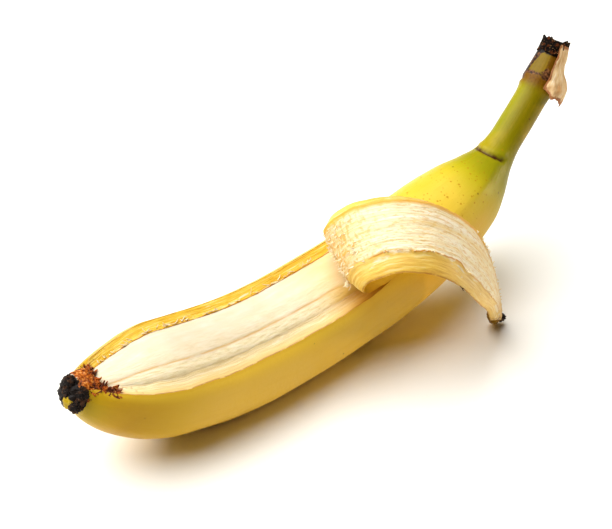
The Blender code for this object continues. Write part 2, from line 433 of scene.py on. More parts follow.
@dataclass(frozen=True)
class Finish:
    """A finish: its name and the constants of its shader."""

    name: str
    roughness: float = 0.5
    specular: float = 0.5
    soft: float = 0.0          # share of the light that goes in and comes out again
    inwards: float = 1.0       # how deep it goes, in millimetres
    spread: tuple[float, float, float] = (1.0, 0.6, 0.3)   # the same by colour: red goes deepest

    def paint(self, brush: Brush) -> tuple[Socket, Socket, float]:
        """Paint the pattern; returns its colour, its height and the height's size."""
        raise NotImplementedError

    def make(self) -> bpy.types.Material:
        """Build the material."""
        made = bpy.data.materials.new(self.name)
        made.use_nodes = True
        tree = made.node_tree
        shader = tree.nodes["Principled BSDF"]
        for name, value in (("Roughness", self.roughness), ("Specular IOR Level", self.specular),
                            ("Subsurface Weight", self.soft), ("Subsurface Radius", self.spread),
                            ("Subsurface Scale", self.inwards * MM)):
            shader.inputs[name].default_value = value
        colour, height, size = self.paint(Brush(tree))
        rise = add_node(tree, "ShaderNodeBump", {"Height": height, "Strength": 1.0,
                                                 "Distance": size * MM})
        tree.links.new(colour, shader.inputs["Base Color"])
        tree.links.new(rise.outputs[0], shader.inputs["Normal"])
        return made


@dataclass(frozen=True)
class SkinFinish(Finish):
    """Ripe banana skin: a waxy yellow rind, greener at the neck, with freckles."""

    length: float = 220.0
    yellow: Stops = ((0.0, "#b08c12"), (0.06, "#c2941a"), (0.13, "#dcb028"), (0.22, "#e5ba32"),
                     (0.55, "#e2ba36"), (0.68, "#d9ba3c"), (0.735, "#bdac1c"),
                     (0.775, "#8e8406"), (0.83, "#827602"), (0.9, "#7c6e02"))
    front: str = "#dcb244"
    cloud: str = "#dcae26"
    streak: str = "#cf9a18"
    rim: str = "#f2ca38"            # painted highlight on the skin just below a tear
    green: str = "#8a8c0a"
    # Dark line along the neck's fold: partly brown tissue, partly painted shade in the crease.
    fold: str = "#43230c"
    toasted: str = "#6e4503"
    dots: str = "#4e3006"
    dry: Stops = ((0.35, "#2a170c"), (0.52, "#50301a"), (0.66, "#8a5a34"))
    char: str = "#17100c"
    # Orange line on the skin along a tear, also used as painted shade over the far half of the
    # strip's skin side.
    lip_and_shade: str = "#c9821c"
    pulp: tuple[str, str] = ("#efe2c4", "#d9b88a")
    rust: Stops = ((0.34, "#3c1a0a"), (0.46, "#8a3e0e"), (0.58, "#bf6a1a"), (0.7, "#d9a468"))
    freckle: Spots = Spots("freckle", "#b47a0e", 1.25, 0.288, 0.7)
    speck: Spots = Spots("speck", "#6a4010", 4.2, 0.064, 0.8)

    def paint(self, brush: Brush) -> tuple[Socket, Socket, float]:
        """Yellow by place along the fruit, then freckles, then what is scorched or torn."""
        rind = self.rind(brush)
        rough = brush.blobs(0.9, 5.0)
        dry = brush.ramp(brush.blobs(1.1, 4.0), self.dry)
        dried = brush.over(brush.span(brush.ragged("brown", rough, 0.9), 0.35, 0.6), rind, dry)
        burnt = brush.over(brush.span(brush.ragged("char", rough, 0.8), 0.4, 0.6), dried, self.char)
        # Orange line beside the tears, and painted shade on the strip's far half.
        lip_and_shaded = brush.over(brush.mark("lip_and_shade"), burnt, self.lip_and_shade)
        pulp = brush.over(brush.span(brush.blobs(1.6), 0.45, 0.7, 0.6), *self.pulp)
        torn = brush.over(brush.span(brush.mark("bare"), 0.3, 0.6), lip_and_shaded, pulp)
        rust = brush.ramp(brush.blobs(0.8, 3.0), self.rust)
        rusty = brush.over(brush.span(brush.ragged("rust", rough, 1.4), 0.42, 0.62), torn, rust)
        return rusty, brush.add(brush.blobs(1.1, 4.0), brush.streaks(9.0, 0.9)), 0.08

    def rind(self, brush: Brush) -> Socket:
        """The sound skin, with the toasted dotted band at the stem's end."""
        along = brush.combine("DIVIDE", brush.mark("along"), self.length)
        yellow = brush.ramp(along, self.yellow)
        golden = brush.over(brush.mark("front"), yellow, self.front)
        cloudy = brush.over(brush.span(brush.blobs(14.0), 0.45, 0.75, 0.35), golden, self.cloud)
        streaky = brush.over(brush.span(brush.streaks(18.0, 1.6), 0.5, 0.78, 0.2), cloudy,
                             self.streak)
        # Painted highlight along the skin just below the near tear.
        rimmed = brush.over(brush.mark("edge_highlight"), streaky, self.rim)
        specked = brush.freckles(brush.freckles(rimmed, self.freckle), self.speck)
        green = brush.over(brush.mark("green"), specked, self.green)
        # The neck's fold line, partly painted shade in the crease.
        folded = brush.over(brush.mark("fold"), green, self.fold)
        toasted = brush.over(brush.mark("amber"), folded, self.toasted)
        dots = brush.times(brush.span(brush.mark("amber"), 0.3, 0.8),
                           brush.span(brush.blobs(0.8, 4.0), 0.5, 0.6, 0.35))
        return brush.over(dots, toasted, self.dots)


@dataclass(frozen=True)
class PithFinish(Finish):
    """The white inner side of the peel: dry, stringy tissue drawn out lengthwise."""

    cream: Stops = ((0.3, "#f0d8a2"), (0.5, "#f6e8c4"), (0.7, "#fbf3e0"))
    # Painted shade over the strip's fold, which faces the light most.
    bend_shade: str = "#d6b87c"
    string: str = "#d9ab58"
    rubbed: str = "#ddb05c"
    crack: str = "#d39c3a"
    gold: str = "#e0a834"

    def paint(self, brush: Brush) -> tuple[Socket, Socket, float]:
        """Cream with tan strings, painted shade and cracks where it bends, and golden at the torn
        edges.
        """
        fibres = brush.streaks(14.0, 0.55, 4.0)
        cream = brush.ramp(brush.streaks(30.0, 2.4, 3.0), self.cream)
        bend_shade = brush.over(brush.times(brush.mark("bend"), 0.8), cream, self.bend_shade)
        strings = brush.over(brush.span(fibres, 0.52, 0.68, 0.6), bend_shade, self.string)
        rubbed = brush.over(brush.span(brush.streaks(1.8, 1.1, 6.0), 0.5, 0.64, 0.55), strings,
                            self.rubbed)
        cracks = brush.times(brush.mark("bend"),
                             brush.span(brush.streaks(0.9, 2.6, 5.0), 0.5, 0.6, 0.85))
        golden = brush.over(brush.mark("gold"), brush.over(cracks, rubbed, self.crack), self.gold)
        return golden, brush.add(fibres, brush.times(brush.streaks(2.6, 0.9, 5.0), 0.9)), 0.3


@dataclass(frozen=True)
class TearFinish(Finish):
    """The torn face of the rind: golden, moist and streaked, with shreds of white pith."""

    gold: Stops = ((0.34, "#cf961c"), (0.46, "#e6b52c"), (0.56, "#efc748"), (0.66, "#f3d888"))
    pale: Stops = ((0.3, "#dabd80"), (0.5, "#e4cc9a"), (0.7, "#ebd9b2"))
    under_skin: str = "#dfbe78"
    shred: str = "#eee0be"
    outer_line: str = "#a86a18"
    inner_line: str = "#c67c10"
    rust: str = "#8a4014"
    # Painted orange shade in the crevice at the strip's root.
    root: str = "#ba7f0c"

    def paint(self, brush: Brush) -> tuple[Socket, Socket, float]:
        """Golden or pale streaks between two darker lines, with shreds and rust, and painted shade
        at the strip's root.
        """
        through = brush.mark("depth")
        fine = brush.streaks(9.0, 3.0, 6.0, 0.4, 0.65)
        pale = brush.over(brush.span(through, 0.03, 0.6), self.under_skin,
                          brush.ramp(fine, self.pale))
        mixed = brush.over(brush.mark("pale"), brush.ramp(fine, self.gold), pale)
        shreds = brush.add(brush.streaks(5.0, 2.0, 5.0, 0.9), brush.times(through, 0.25))
        white = brush.over(brush.span(shreds, 0.74, 0.86, 0.8), mixed, self.shred)
        broken = brush.span(brush.streaks(4.0, 4.0, 4.0), 0.34, 0.5)
        outer = brush.times(brush.span(through, 0.09, 0.03, 0.75), broken)
        rimmed = brush.over(outer, white, self.outer_line)
        inner = brush.times(brush.span(through, 0.92, 0.97), broken)
        closed = brush.over(brush.times(inner, brush.less(1.0, brush.mark("pale"))), rimmed,
                            self.inner_line)
        rusty = brush.over(brush.span(brush.ragged("brown", brush.blobs(1.3, 5.0), 1.3), 0.3, 0.6),
                           closed, self.rust)
        root_shaded = brush.over(brush.mark("root"), rusty, self.root)
        return root_shaded, brush.streaks(8.0, 2.0, 5.0, 0.35), 0.25


@dataclass(frozen=True)
class FleshFinish(Finish):
    """Ripe banana flesh: soft, moist and cream, with faint lengthwise fibres."""

    # The lower facet's cream is lighter than the upper one's: painted light against the shade it
    # falls into as it slopes away from the lamp.
    upper: Stops = ((0.35, "#d6c4a4"), (0.55, "#dac9ae"), (0.7, "#dfd0ba"))
    lower: Stops = ((0.34, "#dfcb9a"), (0.5, "#ecdcb4"), (0.68, "#f3e5c6"))
    line: str = "#d6a450"
    # Painted warm shade in the trough by the near tear and on the flesh near the strip.
    gold: str = "#deb860"
    # Painted deep shade on the flesh beside the strip's root.
    root: str = "#c08a14"

    def paint(self, brush: Brush) -> tuple[Socket, Socket, float]:
        """Cream, a tan line between two facets, and a more fibrous lower facet whose lighter cream
        is painted light; painted warm shade near the tear and the strip, and deeper painted shade
        by the strip's root.
        """
        soft = brush.streaks(9.0, 3.2, 3.0)
        fine = brush.streaks(3.5, 0.7, 5.0)
        facet = brush.mark("facet")
        # Lower facet painted lighter: painted light.
        faced = brush.over(facet, brush.ramp(soft, self.upper), brush.ramp(fine, self.lower))
        broken = brush.times(brush.mark("line"), brush.span(brush.streaks(9.0, 1.5), 0.3, 0.5))
        lined = brush.over(broken, faced, self.line)
        warm_shaded = brush.over(brush.mark("gold"), lined, self.gold)
        shaded = brush.over(brush.mark("root"), warm_shaded, self.root)
        return shaded, brush.add(soft, brush.times(fine, brush.add(facet, 0.25))), 0.14


@dataclass(frozen=True)
class CrustFinish(Finish):
    """Dead plant tissue that has dried hard: dark, with warm patches and pale dry flecks."""

    dark: str = "#1b130f"
    warm: str = "#4b2a18"
    light: str = "#8a6c55"
    warm_from: float = 0.5
    light_from: float = 0.62
    lump: float = 1.6               # size of the warm patches in millimetres

    def paint(self, brush: Brush) -> tuple[Socket, Socket, float]:
        """Dark, with warm patches and a few pale dry flecks."""
        broad = brush.blobs(self.lump, 4.0)
        fine = brush.blobs(self.lump * 0.35, 5.0)
        warm = brush.over(brush.span(broad, self.warm_from, self.warm_from + 0.14), self.dark,
                          self.warm)
        flecked = brush.over(brush.span(fine, self.light_from, self.light_from + 0.1), warm,
                             self.light)
        return flecked, brush.add(broad, fine), 0.9


@dataclass(frozen=True)
class PaperFinish(Finish):
    """A dried leaf sheath: thin, brittle and tan, with rusty edges."""

    tan: Stops = ((0.32, "#b98a55"), (0.5, "#d9b886"), (0.68, "#edd9b4"))
    rust: str = "#96511f"

    def paint(self, brush: Brush) -> tuple[Socket, Socket, float]:
        """Tan, streaked lengthwise, rusty towards its torn edge."""
        veins = brush.streaks(6.0, 0.8, 4.0)
        edge = brush.span(brush.ragged("rim", brush.blobs(1.2, 5.0), 1.2), 0.45, 0.8, 0.85)
        return brush.over(edge, brush.ramp(veins, self.tan), self.rust), veins, 0.3


# Rind: smooth and waxy, so that it gives a broad soft sheen and clean colour.
SKIN = SkinFinish("waxy_banana_skin", roughness=0.38, specular=0.12)
# Inner side of the peel: dry and matt, with light going a little way in, so it looks downy.
PITH = PithFinish("stringy_banana_pith", roughness=0.75, specular=0.25, soft=0.15, inwards=1.2)
# Fresh tear through the rind: slightly moist, so that its streaks glisten a little.
TEAR = TearFinish("torn_banana_rind", roughness=0.5, specular=0.4, soft=0.12, inwards=1.0)
# Flesh: a moist satin with light going a few millimetres in, so that it looks soft and full.
FLESH = FleshFinish("ripe_banana_flesh", roughness=0.5, specular=0.35, soft=0.2, inwards=2.0)
# Dried flower remnant: hard and cindery, black with brown in its hollows.
SCAR = CrustFinish("dried_flower_crust", roughness=0.6, specular=0.15, dark="#140b06",
                   warm="#40240f", light="#6a4e38", warm_from=0.5, light_from=0.62)
# The same remnant left on the strip's tip: more reddish, with finer flecks.
RIND_SCAR = CrustFinish("dried_tip_crust", roughness=0.6, specular=0.15, dark="#1c0a06",
                        warm="#4a1a0c", light="#7a4a34", warm_from=0.46, light_from=0.6, lump=1.1)
# Torn tissue that has gone rusty in the air: orange brown, with tan dry rims.
RUST = CrustFinish("oxidised_tissue", roughness=0.6, specular=0.2, dark="#5a220a",
                   warm="#b4560e", light="#d99a52", warm_from=0.44, light_from=0.6, lump=1.8)
# Cut stem end: dull and blackened, with dry brown rims.
STUB = CrustFinish("blackened_stem_end", roughness=0.7, specular=0.06, dark="#0e0704",
                   warm="#54290f", light="#a8804e", warm_from=0.5, light_from=0.6, lump=1.3)
# Leaf sheath: papery and matt, with light coming through, so that it looks thin.
PAPER = PaperFinish("dry_leaf_sheath", roughness=0.7, specular=0.25, soft=0.1, inwards=0.6)


# ------------------------------------------------------------------ the fruit's form
@dataclass(frozen=True)
class FruitForm:
    """The whole fruit's shape: its middle line, thickness, ridges, tear and hollow."""

    slope: Curve = Curve(((-3, -32), (8, -24), (16, -18), (26, -12.5), (44, -9.5), (56, -5.8),
                          (72, 0), (88, 3.9), (112, 7.2), (128, 13), (144, 16.1), (156, 18),
                          (168, 28.3), (176, 35.1), (192, 38.7), (208, 46), (220, 56)))
    radius: Curve = Curve(((-2.4, 3.2), (-1.2, 4.7), (0.8, 5.7), (2.6, 6.7), (4, 7.8), (8, 10.5),
                           (16, 14.5), (24, 17.2), (32, 18.5), (44, 18.6), (72, 18.2),
                           (104, 17.7), (128, 17.1), (144, 15.8), (152, 14.7), (160, 13.0),
                           (168, 9.9), (176, 6.7), (184, 5.5), (198, 5.4), (205, 5.8),
                           (213, 5.0), (220, 3.9)))
    start: float = -2.4             # the blossom end
    end: float = 220.0              # the stem's end
    neck: float = 182.0             # where the fruit has become stem
    lean: float = 12.0              # the plane the fruit curves in leans back by this much
    margin: int = 3                 # how far the middle line runs on before the blossom end
    ridges: tuple[float, ...] = (60.0, 132.0, 193.0, 252.0, 310.0)
    flatness: float = 0.30          # how flat the facets between the ridges are
    top_flatness: float = 0.12      # and the one on top, which is rounder
    softened: float = 5.0           # how far each side a ridge is rounded over
    ridges_from: float = 4.0        # where the ridges begin to rise
    ridges_rise: float = 12.0
    ridges_fade: float = 20.0       # over this length before the neck
    belly: Curve = Curve(((34, 0), (54, 1.7), (84, 2.1), (112, 1.9), (142, 0)))
    belly_angle: float = 193.0
    belly_full: float = 20.0        # the sag is full within this angle of the belly
    belly_edge: float = 48.0        # and has gone at this one
    peel: float = 3.3
    window_start: float = 5.4
    window_end: float = 118.0       # where the strip stays attached
    far_tear: float = -25.0
    near_tear: Curve = Curve(((0, 65), (10, 75), (22, 79), (40, 78), (60, 75), (80, 74), (100, 74),
                              (118, 67)))
    far_slant: Curve = Curve(((0, 9), (70, 7.5), (76, 7.0), (79, 4.2), (118, 5)))
    near_slant: float = 14.0        # how much further down the tear is on the inner wall
    hollow_start: float = 3.3
    hollow_end: float = 171.0
    hollow_dome: float = 14.0       # the hollow closes over this length
    hollow_neck: float = 10.5       # and has this radius where the dome begins
    rest_point: tuple[float, float, float] = (73.4, -2.95, -31.7)
    spine: list = field(default_factory=list)

    def __post_init__(self) -> None:
        """Work out the middle line at each millimetre."""
        lean = math.radians(self.lean)
        plane_up = Vector((0, math.sin(lean), math.cos(lean)))
        front = Vector((0, -math.cos(lean), math.sin(lean)))
        place = Vector((0, 0, 0))
        rows = []
        for s in range(-self.margin, int(self.end) + 1):
            slope = math.radians(self.slope.at(s))
            ahead = Vector((math.cos(slope), 0, 0)) + math.sin(slope) * plane_up
            rows.append((place.copy(), ahead, front.cross(ahead), front))
            middle = math.radians(self.slope.at(s + 0.5))
            place += Vector((math.cos(middle), 0, 0)) + math.sin(middle) * plane_up
        shift = rows[self.margin][0] + Vector(self.rest_point)
        self.spine.extend((at - shift, ahead, up, side) for at, ahead, up, side in rows)

    def frame(self, s: float) -> list[Vector]:
        """Place, direction, up side and front side of the middle line at distance s."""
        k = min(max(s + self.margin, 0.0), len(self.spine) - 1.001)
        i = int(k)
        return [a.lerp(b, k - i) for a, b in zip(self.spine[i], self.spine[i + 1])]

    def facets(self, angle: float) -> float:
        """Radius at an angle, as a share of the radius over the ridges, with crisp ridges."""
        last = self.ridges[-1]
        turned = (angle - last) % 360.0 + last
        corners = [last] + [ridge + 360.0 for ridge in self.ridges]
        for low, high in zip(corners, corners[1:]):
            if turned <= high:
                half = math.radians(high - low) / 2
                off = math.radians(turned - (low + high) / 2)
                flat = self.top_flatness if low == last else self.flatness
                return 1 - flat * (1 - math.cos(half) / math.cos(off))
        return 1.0

    def roundness(self, angle: float) -> float:
        """The same with its ridges rounded over."""
        near, far = self.softened * 0.5, self.softened
        return (2 * self.facets(angle) + self.facets(angle - near) + self.facets(angle + near)
                + 0.5 * self.facets(angle - far) + 0.5 * self.facets(angle + far)) / 5

    def plain_radius(self, s: float, angle: float) -> float:
        """Outer radius before the underside sags."""
        ridged = max(0.0, min(1.0, (s - self.ridges_from) / self.ridges_rise,
                              (self.neck - s) / self.ridges_fade))
        return self.radius.at(s) * (1 + ridged * (self.roundness(angle) - 1))

    def skin_radius(self, s: float, angle: float) -> float:
        """Outer radius of the peel as it lies."""
        off = abs((angle - self.belly_angle + 180.0) % 360.0 - 180.0)
        return self.plain_radius(s, angle) + self.belly.at(s) * ease(off, self.belly_edge,
                                                                     self.belly_full)

    def hollow_radius(self, s: float, angle: float, shorter: float = 0.0) -> float:
        """Radius of the hollow in the peel, closing in a dome at the neck."""
        wall = self.plain_radius(s, angle) - self.peel
        left = max(0.0, self.hollow_end - shorter - s) / self.hollow_dome
        if left >= 1:
            return wall
        return min(wall, self.hollow_neck * math.sqrt(max(0.0, 1 - (1 - left) ** 2)))

    def outward(self, s: float, angle: float) -> tuple[Vector, Vector, Vector]:
        """Place and direction of the middle line, and the way out at an angle."""
        at, ahead, up, front = self.frame(s)
        turn = math.radians(angle)
        return at, ahead, math.cos(turn) * up + math.sin(turn) * front

    def point(self, s: float, angle: float, radius: float) -> Vector:
        """The point at a distance, an angle and a radius from the middle line."""
        at, _, out = self.outward(s, angle)
        return at + radius * out

    def tear_angle(self, s: float, share: float, depth: float) -> float:
        """Angle of a place across the window, with its ragged tears.

        Args:
            s: Distance along the fruit.
            share: 1 at the far tear and -1 at the near one.
            depth: 0 on the skin and 1 on the inner wall.

        Returns:
            The angle round the fruit.
        """
        # Broad waves and small nicks, and on the inner wall a slant with its own raggedness.
        far = self.far_tear + 0.9 * wander(s / 8.0, 3.1) + 0.5 * wander(s / 2.2, 7.7)
        near = self.near_tear.at(s) + 1.1 * wander(s / 9.0, 11.3) + 0.6 * wander(s / 2.4, 5.9)
        far += depth * (self.far_slant.at(s) + 1.3 * wander(s / 3.1, 21.0)
                        + 0.9 * wander(s / 1.3, 25.0))
        near -= depth * (self.near_slant + 1.5 * wander(s / 4.0, 31.0))
        return near + (far - near) * (share + 1) / 2


@dataclass(frozen=True)
class StripForm:
    """The folded strip's shape, as a ribbon turned a little at each millimetre."""

    fruit: FruitForm
    turn: Curve = Curve(((0, 0), (9, 12), (17.5, 65), (25, 94), (41, 165), (60, 219), (79, 242),
                         (96, 256), (116.5, 266)))
    crease: Curve = Curve(((0, 0), (8, -24), (56, -2.5), (96, 32.5), (116.5, 58)))
    near_width: Curve = Curve(((0, 13.3), (15, 13.8), (33, 13.2), (76, 14), (98, 7.8),
                               (110, 4.8), (116.5, 3.4)))
    far_width: Curve = Curve(((0, 13.3), (15, 12.6), (33, 13), (76, 13.6), (98, 6.9),
                              (110, 3.2), (116.5, 1.5)))
    length: float = 116.5
    root_angle: float = 25.0
    thickness: float = 3.0
    far_slant: float = 3.0
    near_slant: Curve = Curve(((0, 3.0), (8, 5.0), (50, 6.4), (64, 6.0), (66, 4.6), (95, 3.6),
                               (116.5, 2.0)))
    narrowest: float = 0.6          # the torn face never takes more than this share
    lift: float = 9.0               # the strip parts from the fruit over this length
    sets_off: tuple[float, float, float] = (-0.975, -0.062, -0.202)   # its way at the root
    faces: tuple[float, float, float] = (-0.19, -0.215, 0.96)         # the way its skin looks
    frames: list = field(default_factory=list)

    def __post_init__(self) -> None:
        """Work out the strip's middle line at each millimetre."""
        fruit = self.fruit
        root = fruit.window_end
        place = fruit.point(root, self.root_angle, fruit.skin_radius(root, self.root_angle))
        ahead = Vector(self.sets_off).normalized()
        face = Vector(self.faces)
        face = (face - face.dot(ahead) * ahead).normalized()
        across = ahead.cross(face)
        self.frames.append((place.copy(), ahead, across, face))
        for u in range(math.ceil(self.length)):
            slant = math.radians(self.crease.at(u + 0.5))
            axis = math.cos(slant) * across + math.sin(slant) * ahead
            angle = math.radians(self.turn.at(u + 1) - self.turn.at(u))
            half, whole = Quaternion(axis, angle / 2), Quaternion(axis, angle)
            place = place + half @ ahead
            ahead, across, face = whole @ ahead, whole @ across, whole @ face
            self.frames.append((place.copy(), ahead, across, face))

    def width(self, u: float, share: float) -> float:
        """Ragged half width of the strip on the side that share is on."""
        widths = self.far_width if share > 0 else self.near_width
        seed = 40.0 if share > 0 else 60.0
        ragged = 0.30 * wander(u / 6.0, seed) + 0.16 * wander(u / 1.9, seed + 9)
        return widths.at(u) + ragged * ease(u, 4, 14)

    def point(self, u: float, share: float, depth: float) -> Vector:
        """A place on or in the strip.

        Args:
            u: Distance along the strip from its root.
            share: 1 at the far edge and -1 at the near edge.
            depth: 0 on the skin side and 1 on the white side.

        Returns:
            The place in millimetres.
        """
        k = min(u, self.length - 0.001)
        i = int(k)
        place, ahead, across, face = [a.lerp(b, k - i)
                                      for a, b in zip(self.frames[i], self.frames[i + 1])]
        slant = math.radians(self.crease.at(u))
        crease = math.cos(slant) * across + math.sin(slant) * ahead
        reach = self.width(u, share) * share
        at = min(max(u + reach * math.tan(slant), 0.0), self.length)
        width = self.width(at, share)
        inset, rise = self.profile(at, share, depth)
        reach = (width - min(inset, self.narrowest * width)) * share
        free = place + crease * (reach / math.cos(slant)) - face * self.thickness * rise
        fruit = self.fruit
        s = fruit.window_end - at
        angle = fruit.tear_angle(s, share, depth)
        wall = fruit.skin_radius(s, angle)
        wall += (fruit.hollow_radius(s, angle) - wall) * depth
        return fruit.point(s, angle, wall).lerp(free, ease(u, 0.0, self.lift))

    def profile(self, u: float, share: float, depth: float) -> tuple[float, float]:
        """How far in from the edge the torn face is, and how high, at a depth."""
        if share > 0:
            return self.far_slant * depth, depth
        shelf = 0.62 * depth ** 0.55 + 0.26 * depth + 0.12 * ease(depth, 0.86, 1.0)
        ragged = 0.45 * wander(u / 1.3, 71.0) + 0.6 * wander(u / 6.0, 75.0)
        return (self.near_slant.at(u) + ragged * depth) * depth, shelf


# ------------------------------------------------------------------ pieces
# Numbers stored on the mesh: those that the skin reads, and those of the torn and white sides.
SKIN_MARKS = ("along", "front", "edge_highlight", "freckle", "speck", "green", "amber", "brown", "char",
              "lip_and_shade", "bare", "rust", "fold")
INNER_MARKS = ("gold", "pale", "bend", "root")


@dataclass
class Peel:
    """The skin: rolled from a sheet, torn along three sides, and folded back."""

    form: FruitForm
    strip: StripForm
    window_columns: int = 36
    back_columns: int = 26
    front_columns: int = 28
    back_seam: float = -166.0       # where the sheet's two sides meet, underneath
    cap_shares: tuple[float, ...] = (0.0, 0.35, 0.7)
    fold_zone: tuple[float, float] = (166.0, 180.0)   # rows are close together round the neck
    steps: tuple[float, ...] = (0.55, 1.15, 1.3, 0.7, 1.25)   # row spacing in each stretch
    rim_cuts: int = 7
    settle: float = 1.0             # the underside is squashed over this height
    round_fruit: float = 15.0       # one radian round the fruit is about this long
    half_window: float = 13.0       # and half the window's width about this
    grain_depth: float = 3.5        # the wall's thickness as its streaks measure it
    stretch: float = 1.05           # the strip is about this much longer than its window
    rows: list = field(default_factory=list)
    layers: tuple[str, ...] = ("row", "column", "depth", "flap")

    def __post_init__(self) -> None:
        """Lay out the rows: distance along the fruit, and share of the radius at the caps."""
        form = self.form
        self.rows += [(form.start, share) for share in self.cap_shares]
        stations = (form.start, form.window_start, form.window_end, *self.fold_zone, form.end)
        for low, high, step in zip(stations, stations[1:], self.steps):
            count = round((high - low) / step)
            self.rows += [(low + (high - low) * i / count, 1.0) for i in range(count)]
        self.rows += [(form.end, share) for share in (1.0,) + self.cap_shares[::-1]]
        self.first = self.row_of(form.window_start)
        self.root = self.row_of(form.window_end)
        self.far = self.back_columns
        self.near = self.far + self.window_columns
        self.columns = self.near + self.front_columns

    def row_of(self, s: float) -> int:
        """The row at a distance that some row lies on."""
        return min(range(len(self.rows)), key=lambda i: abs(self.rows[i][0] - s))

    def share(self, column: float) -> float:
        """1 at the far tear, -1 at the near tear, and straight on beyond them."""
        return 1 - 2 * (column - self.far) / self.window_columns

    def angle(self, s: float, column: float, depth: float) -> float:
        """Angle round the fruit of a column at a distance and depth."""
        form = self.form
        if self.far <= column <= self.near:
            return form.tear_angle(s, self.share(column), depth)
        if column < self.far:
            low, high, t = self.back_seam, form.tear_angle(s, 1, depth), column / self.far
        else:
            low, high = form.tear_angle(s, -1, depth), self.back_seam + 360
            t = (column - self.near) / self.front_columns
        return low + (high - low) * t

    def inner_distance(self, s: float) -> float:
        """Where along the fruit the inner wall behind an outer row is."""
        form = self.form
        if s < form.window_start:
            t = (s - form.start) / (form.window_start - form.start)
            return form.hollow_start + (form.window_start - form.hollow_start) * t
        if s > form.window_end:
            t = (s - form.window_end) / (form.end - form.window_end)
            return form.window_end + (form.hollow_end - 0.3 - form.window_end) * t
        return s

    def bared(self, s: float, angle: float) -> float:
        """How far the skin between the scar and the window is torn down, from 0 to 1."""
        turned = (angle + 180.0) % 360.0 - 180.0
        ragged = 6.0 * wander(s / 1.5, turned / 9.0, 51.0)
        across = ease(turned + ragged, -29.0, -17.0) * ease(turned + ragged, 72.0, 60.0)
        return ease(s, 0.4, 5.2) * across

    def rested(self, spot: Vector) -> Vector:
        """Flatten what would reach below the surface that the fruit lies on."""
        if spot.z < self.settle:
            spot.z = self.settle * math.exp((spot.z - self.settle) / self.settle)
        return spot

    def point(self, row: float, column: float, depth: float, flap: float) -> Vector:
        """Where a vertex of the finished peel is."""
        s, cap = self.rows[round(row)]
        form = self.form
        if flap > 0.5:
            u = (form.window_end - s) * self.strip.length / (form.window_end - form.window_start)
            share = self.share(column)
            if abs(share) > 0.999 or depth in (0.0, 1.0):
                return self.strip.point(u, share, depth)
            return self.strip.point(u, share, 0.0).lerp(self.strip.point(u, share, 1.0), depth)
        outer_angle = self.angle(s, column, 0.0)
        radius = form.skin_radius(s, outer_angle)
        if s <= form.window_start:
            low = form.hollow_radius(form.window_start, outer_angle) + 0.5
            radius += (min(radius, low) - radius) * self.bared(s, outer_angle)
        outer = self.rested(form.point(s, outer_angle, radius * cap))
        if depth == 0.0:
            return outer
        deep = self.inner_distance(s)
        inner_angle = self.angle(s, column, 1.0)
        wall = form.hollow_radius(deep, inner_angle)
        inner = form.point(deep, inner_angle, wall * cap)
        if depth < 1.0 and round(column) == self.near:
            angle = outer_angle + (inner_angle - outer_angle) * depth
            return form.point(s, angle, wall + (radius - wall) * (1 - depth) ** 1.7)
        return outer.lerp(inner, depth)

    def shape(self, item: bpy.types.Object) -> None:
        """Put every vertex where its row, column, depth and flap say."""
        place_vertices(item, [self.point(*mark) for mark in marks(item.data, *self.layers)])

    def tear(self, item: bpy.types.Object) -> None:
        """Split the sheet along the window's two sides and its blossom end."""
        def pick(work: bmesh.types.BMesh) -> None:
            row, column = (work.verts.layers.float[name] for name in ("row", "column"))
            for edge in work.edges:
                a, b = edge.verts
                rows, columns = sorted((a[row], b[row])), sorted((a[column], b[column]))
                beside = columns[0] == columns[1] and columns[0] in (self.far, self.near)
                across = rows[0] == rows[1] == self.first
                edge.select = ((beside and self.first <= rows[0] and rows[1] <= self.root) or
                               (across and self.far <= columns[0] and columns[1] <= self.near))
        edit_selection(item, "EDGE", pick)
        bpy.ops.mesh.edge_split(type="EDGE")
        work = bmesh.from_edit_mesh(item.data)
        row, column, flap = (work.verts.layers.float[name] for name in ("row", "column", "flap"))
        for face in work.faces:
            if all(self.first <= vertex[row] <= self.root
                   and self.far <= vertex[column] <= self.near for vertex in face.verts):
                for vertex in face.verts:
                    vertex[flap] = float(vertex[row] < self.root)
        bmesh.update_edit_mesh(item.data)
        bpy.ops.object.mode_set(mode="OBJECT")

    def thicken(self, item: bpy.types.Object) -> None:
        """Extrude the whole sheet inwards and cut the torn faces into bands."""
        edit_selection(item, "FACE", lambda work: [face.select_set(True) for face in work.faces])
        bpy.ops.mesh.extrude_region_move()
        work = bmesh.from_edit_mesh(item.data)
        depth = work.verts.layers.float["depth"]
        for vertex in work.verts:
            vertex[depth] = float(vertex.select)
        bpy.ops.object.mode_set(mode="OBJECT")

        def pick(work: bmesh.types.BMesh) -> None:
            layer = work.verts.layers.float["depth"]
            for edge in work.edges:
                edge.select = edge.verts[0][layer] != edge.verts[1][layer]
        edit_selection(item, "EDGE", pick)
        bpy.ops.mesh.subdivide(number_cuts=self.rim_cuts)
        bpy.ops.object.mode_set(mode="OBJECT")

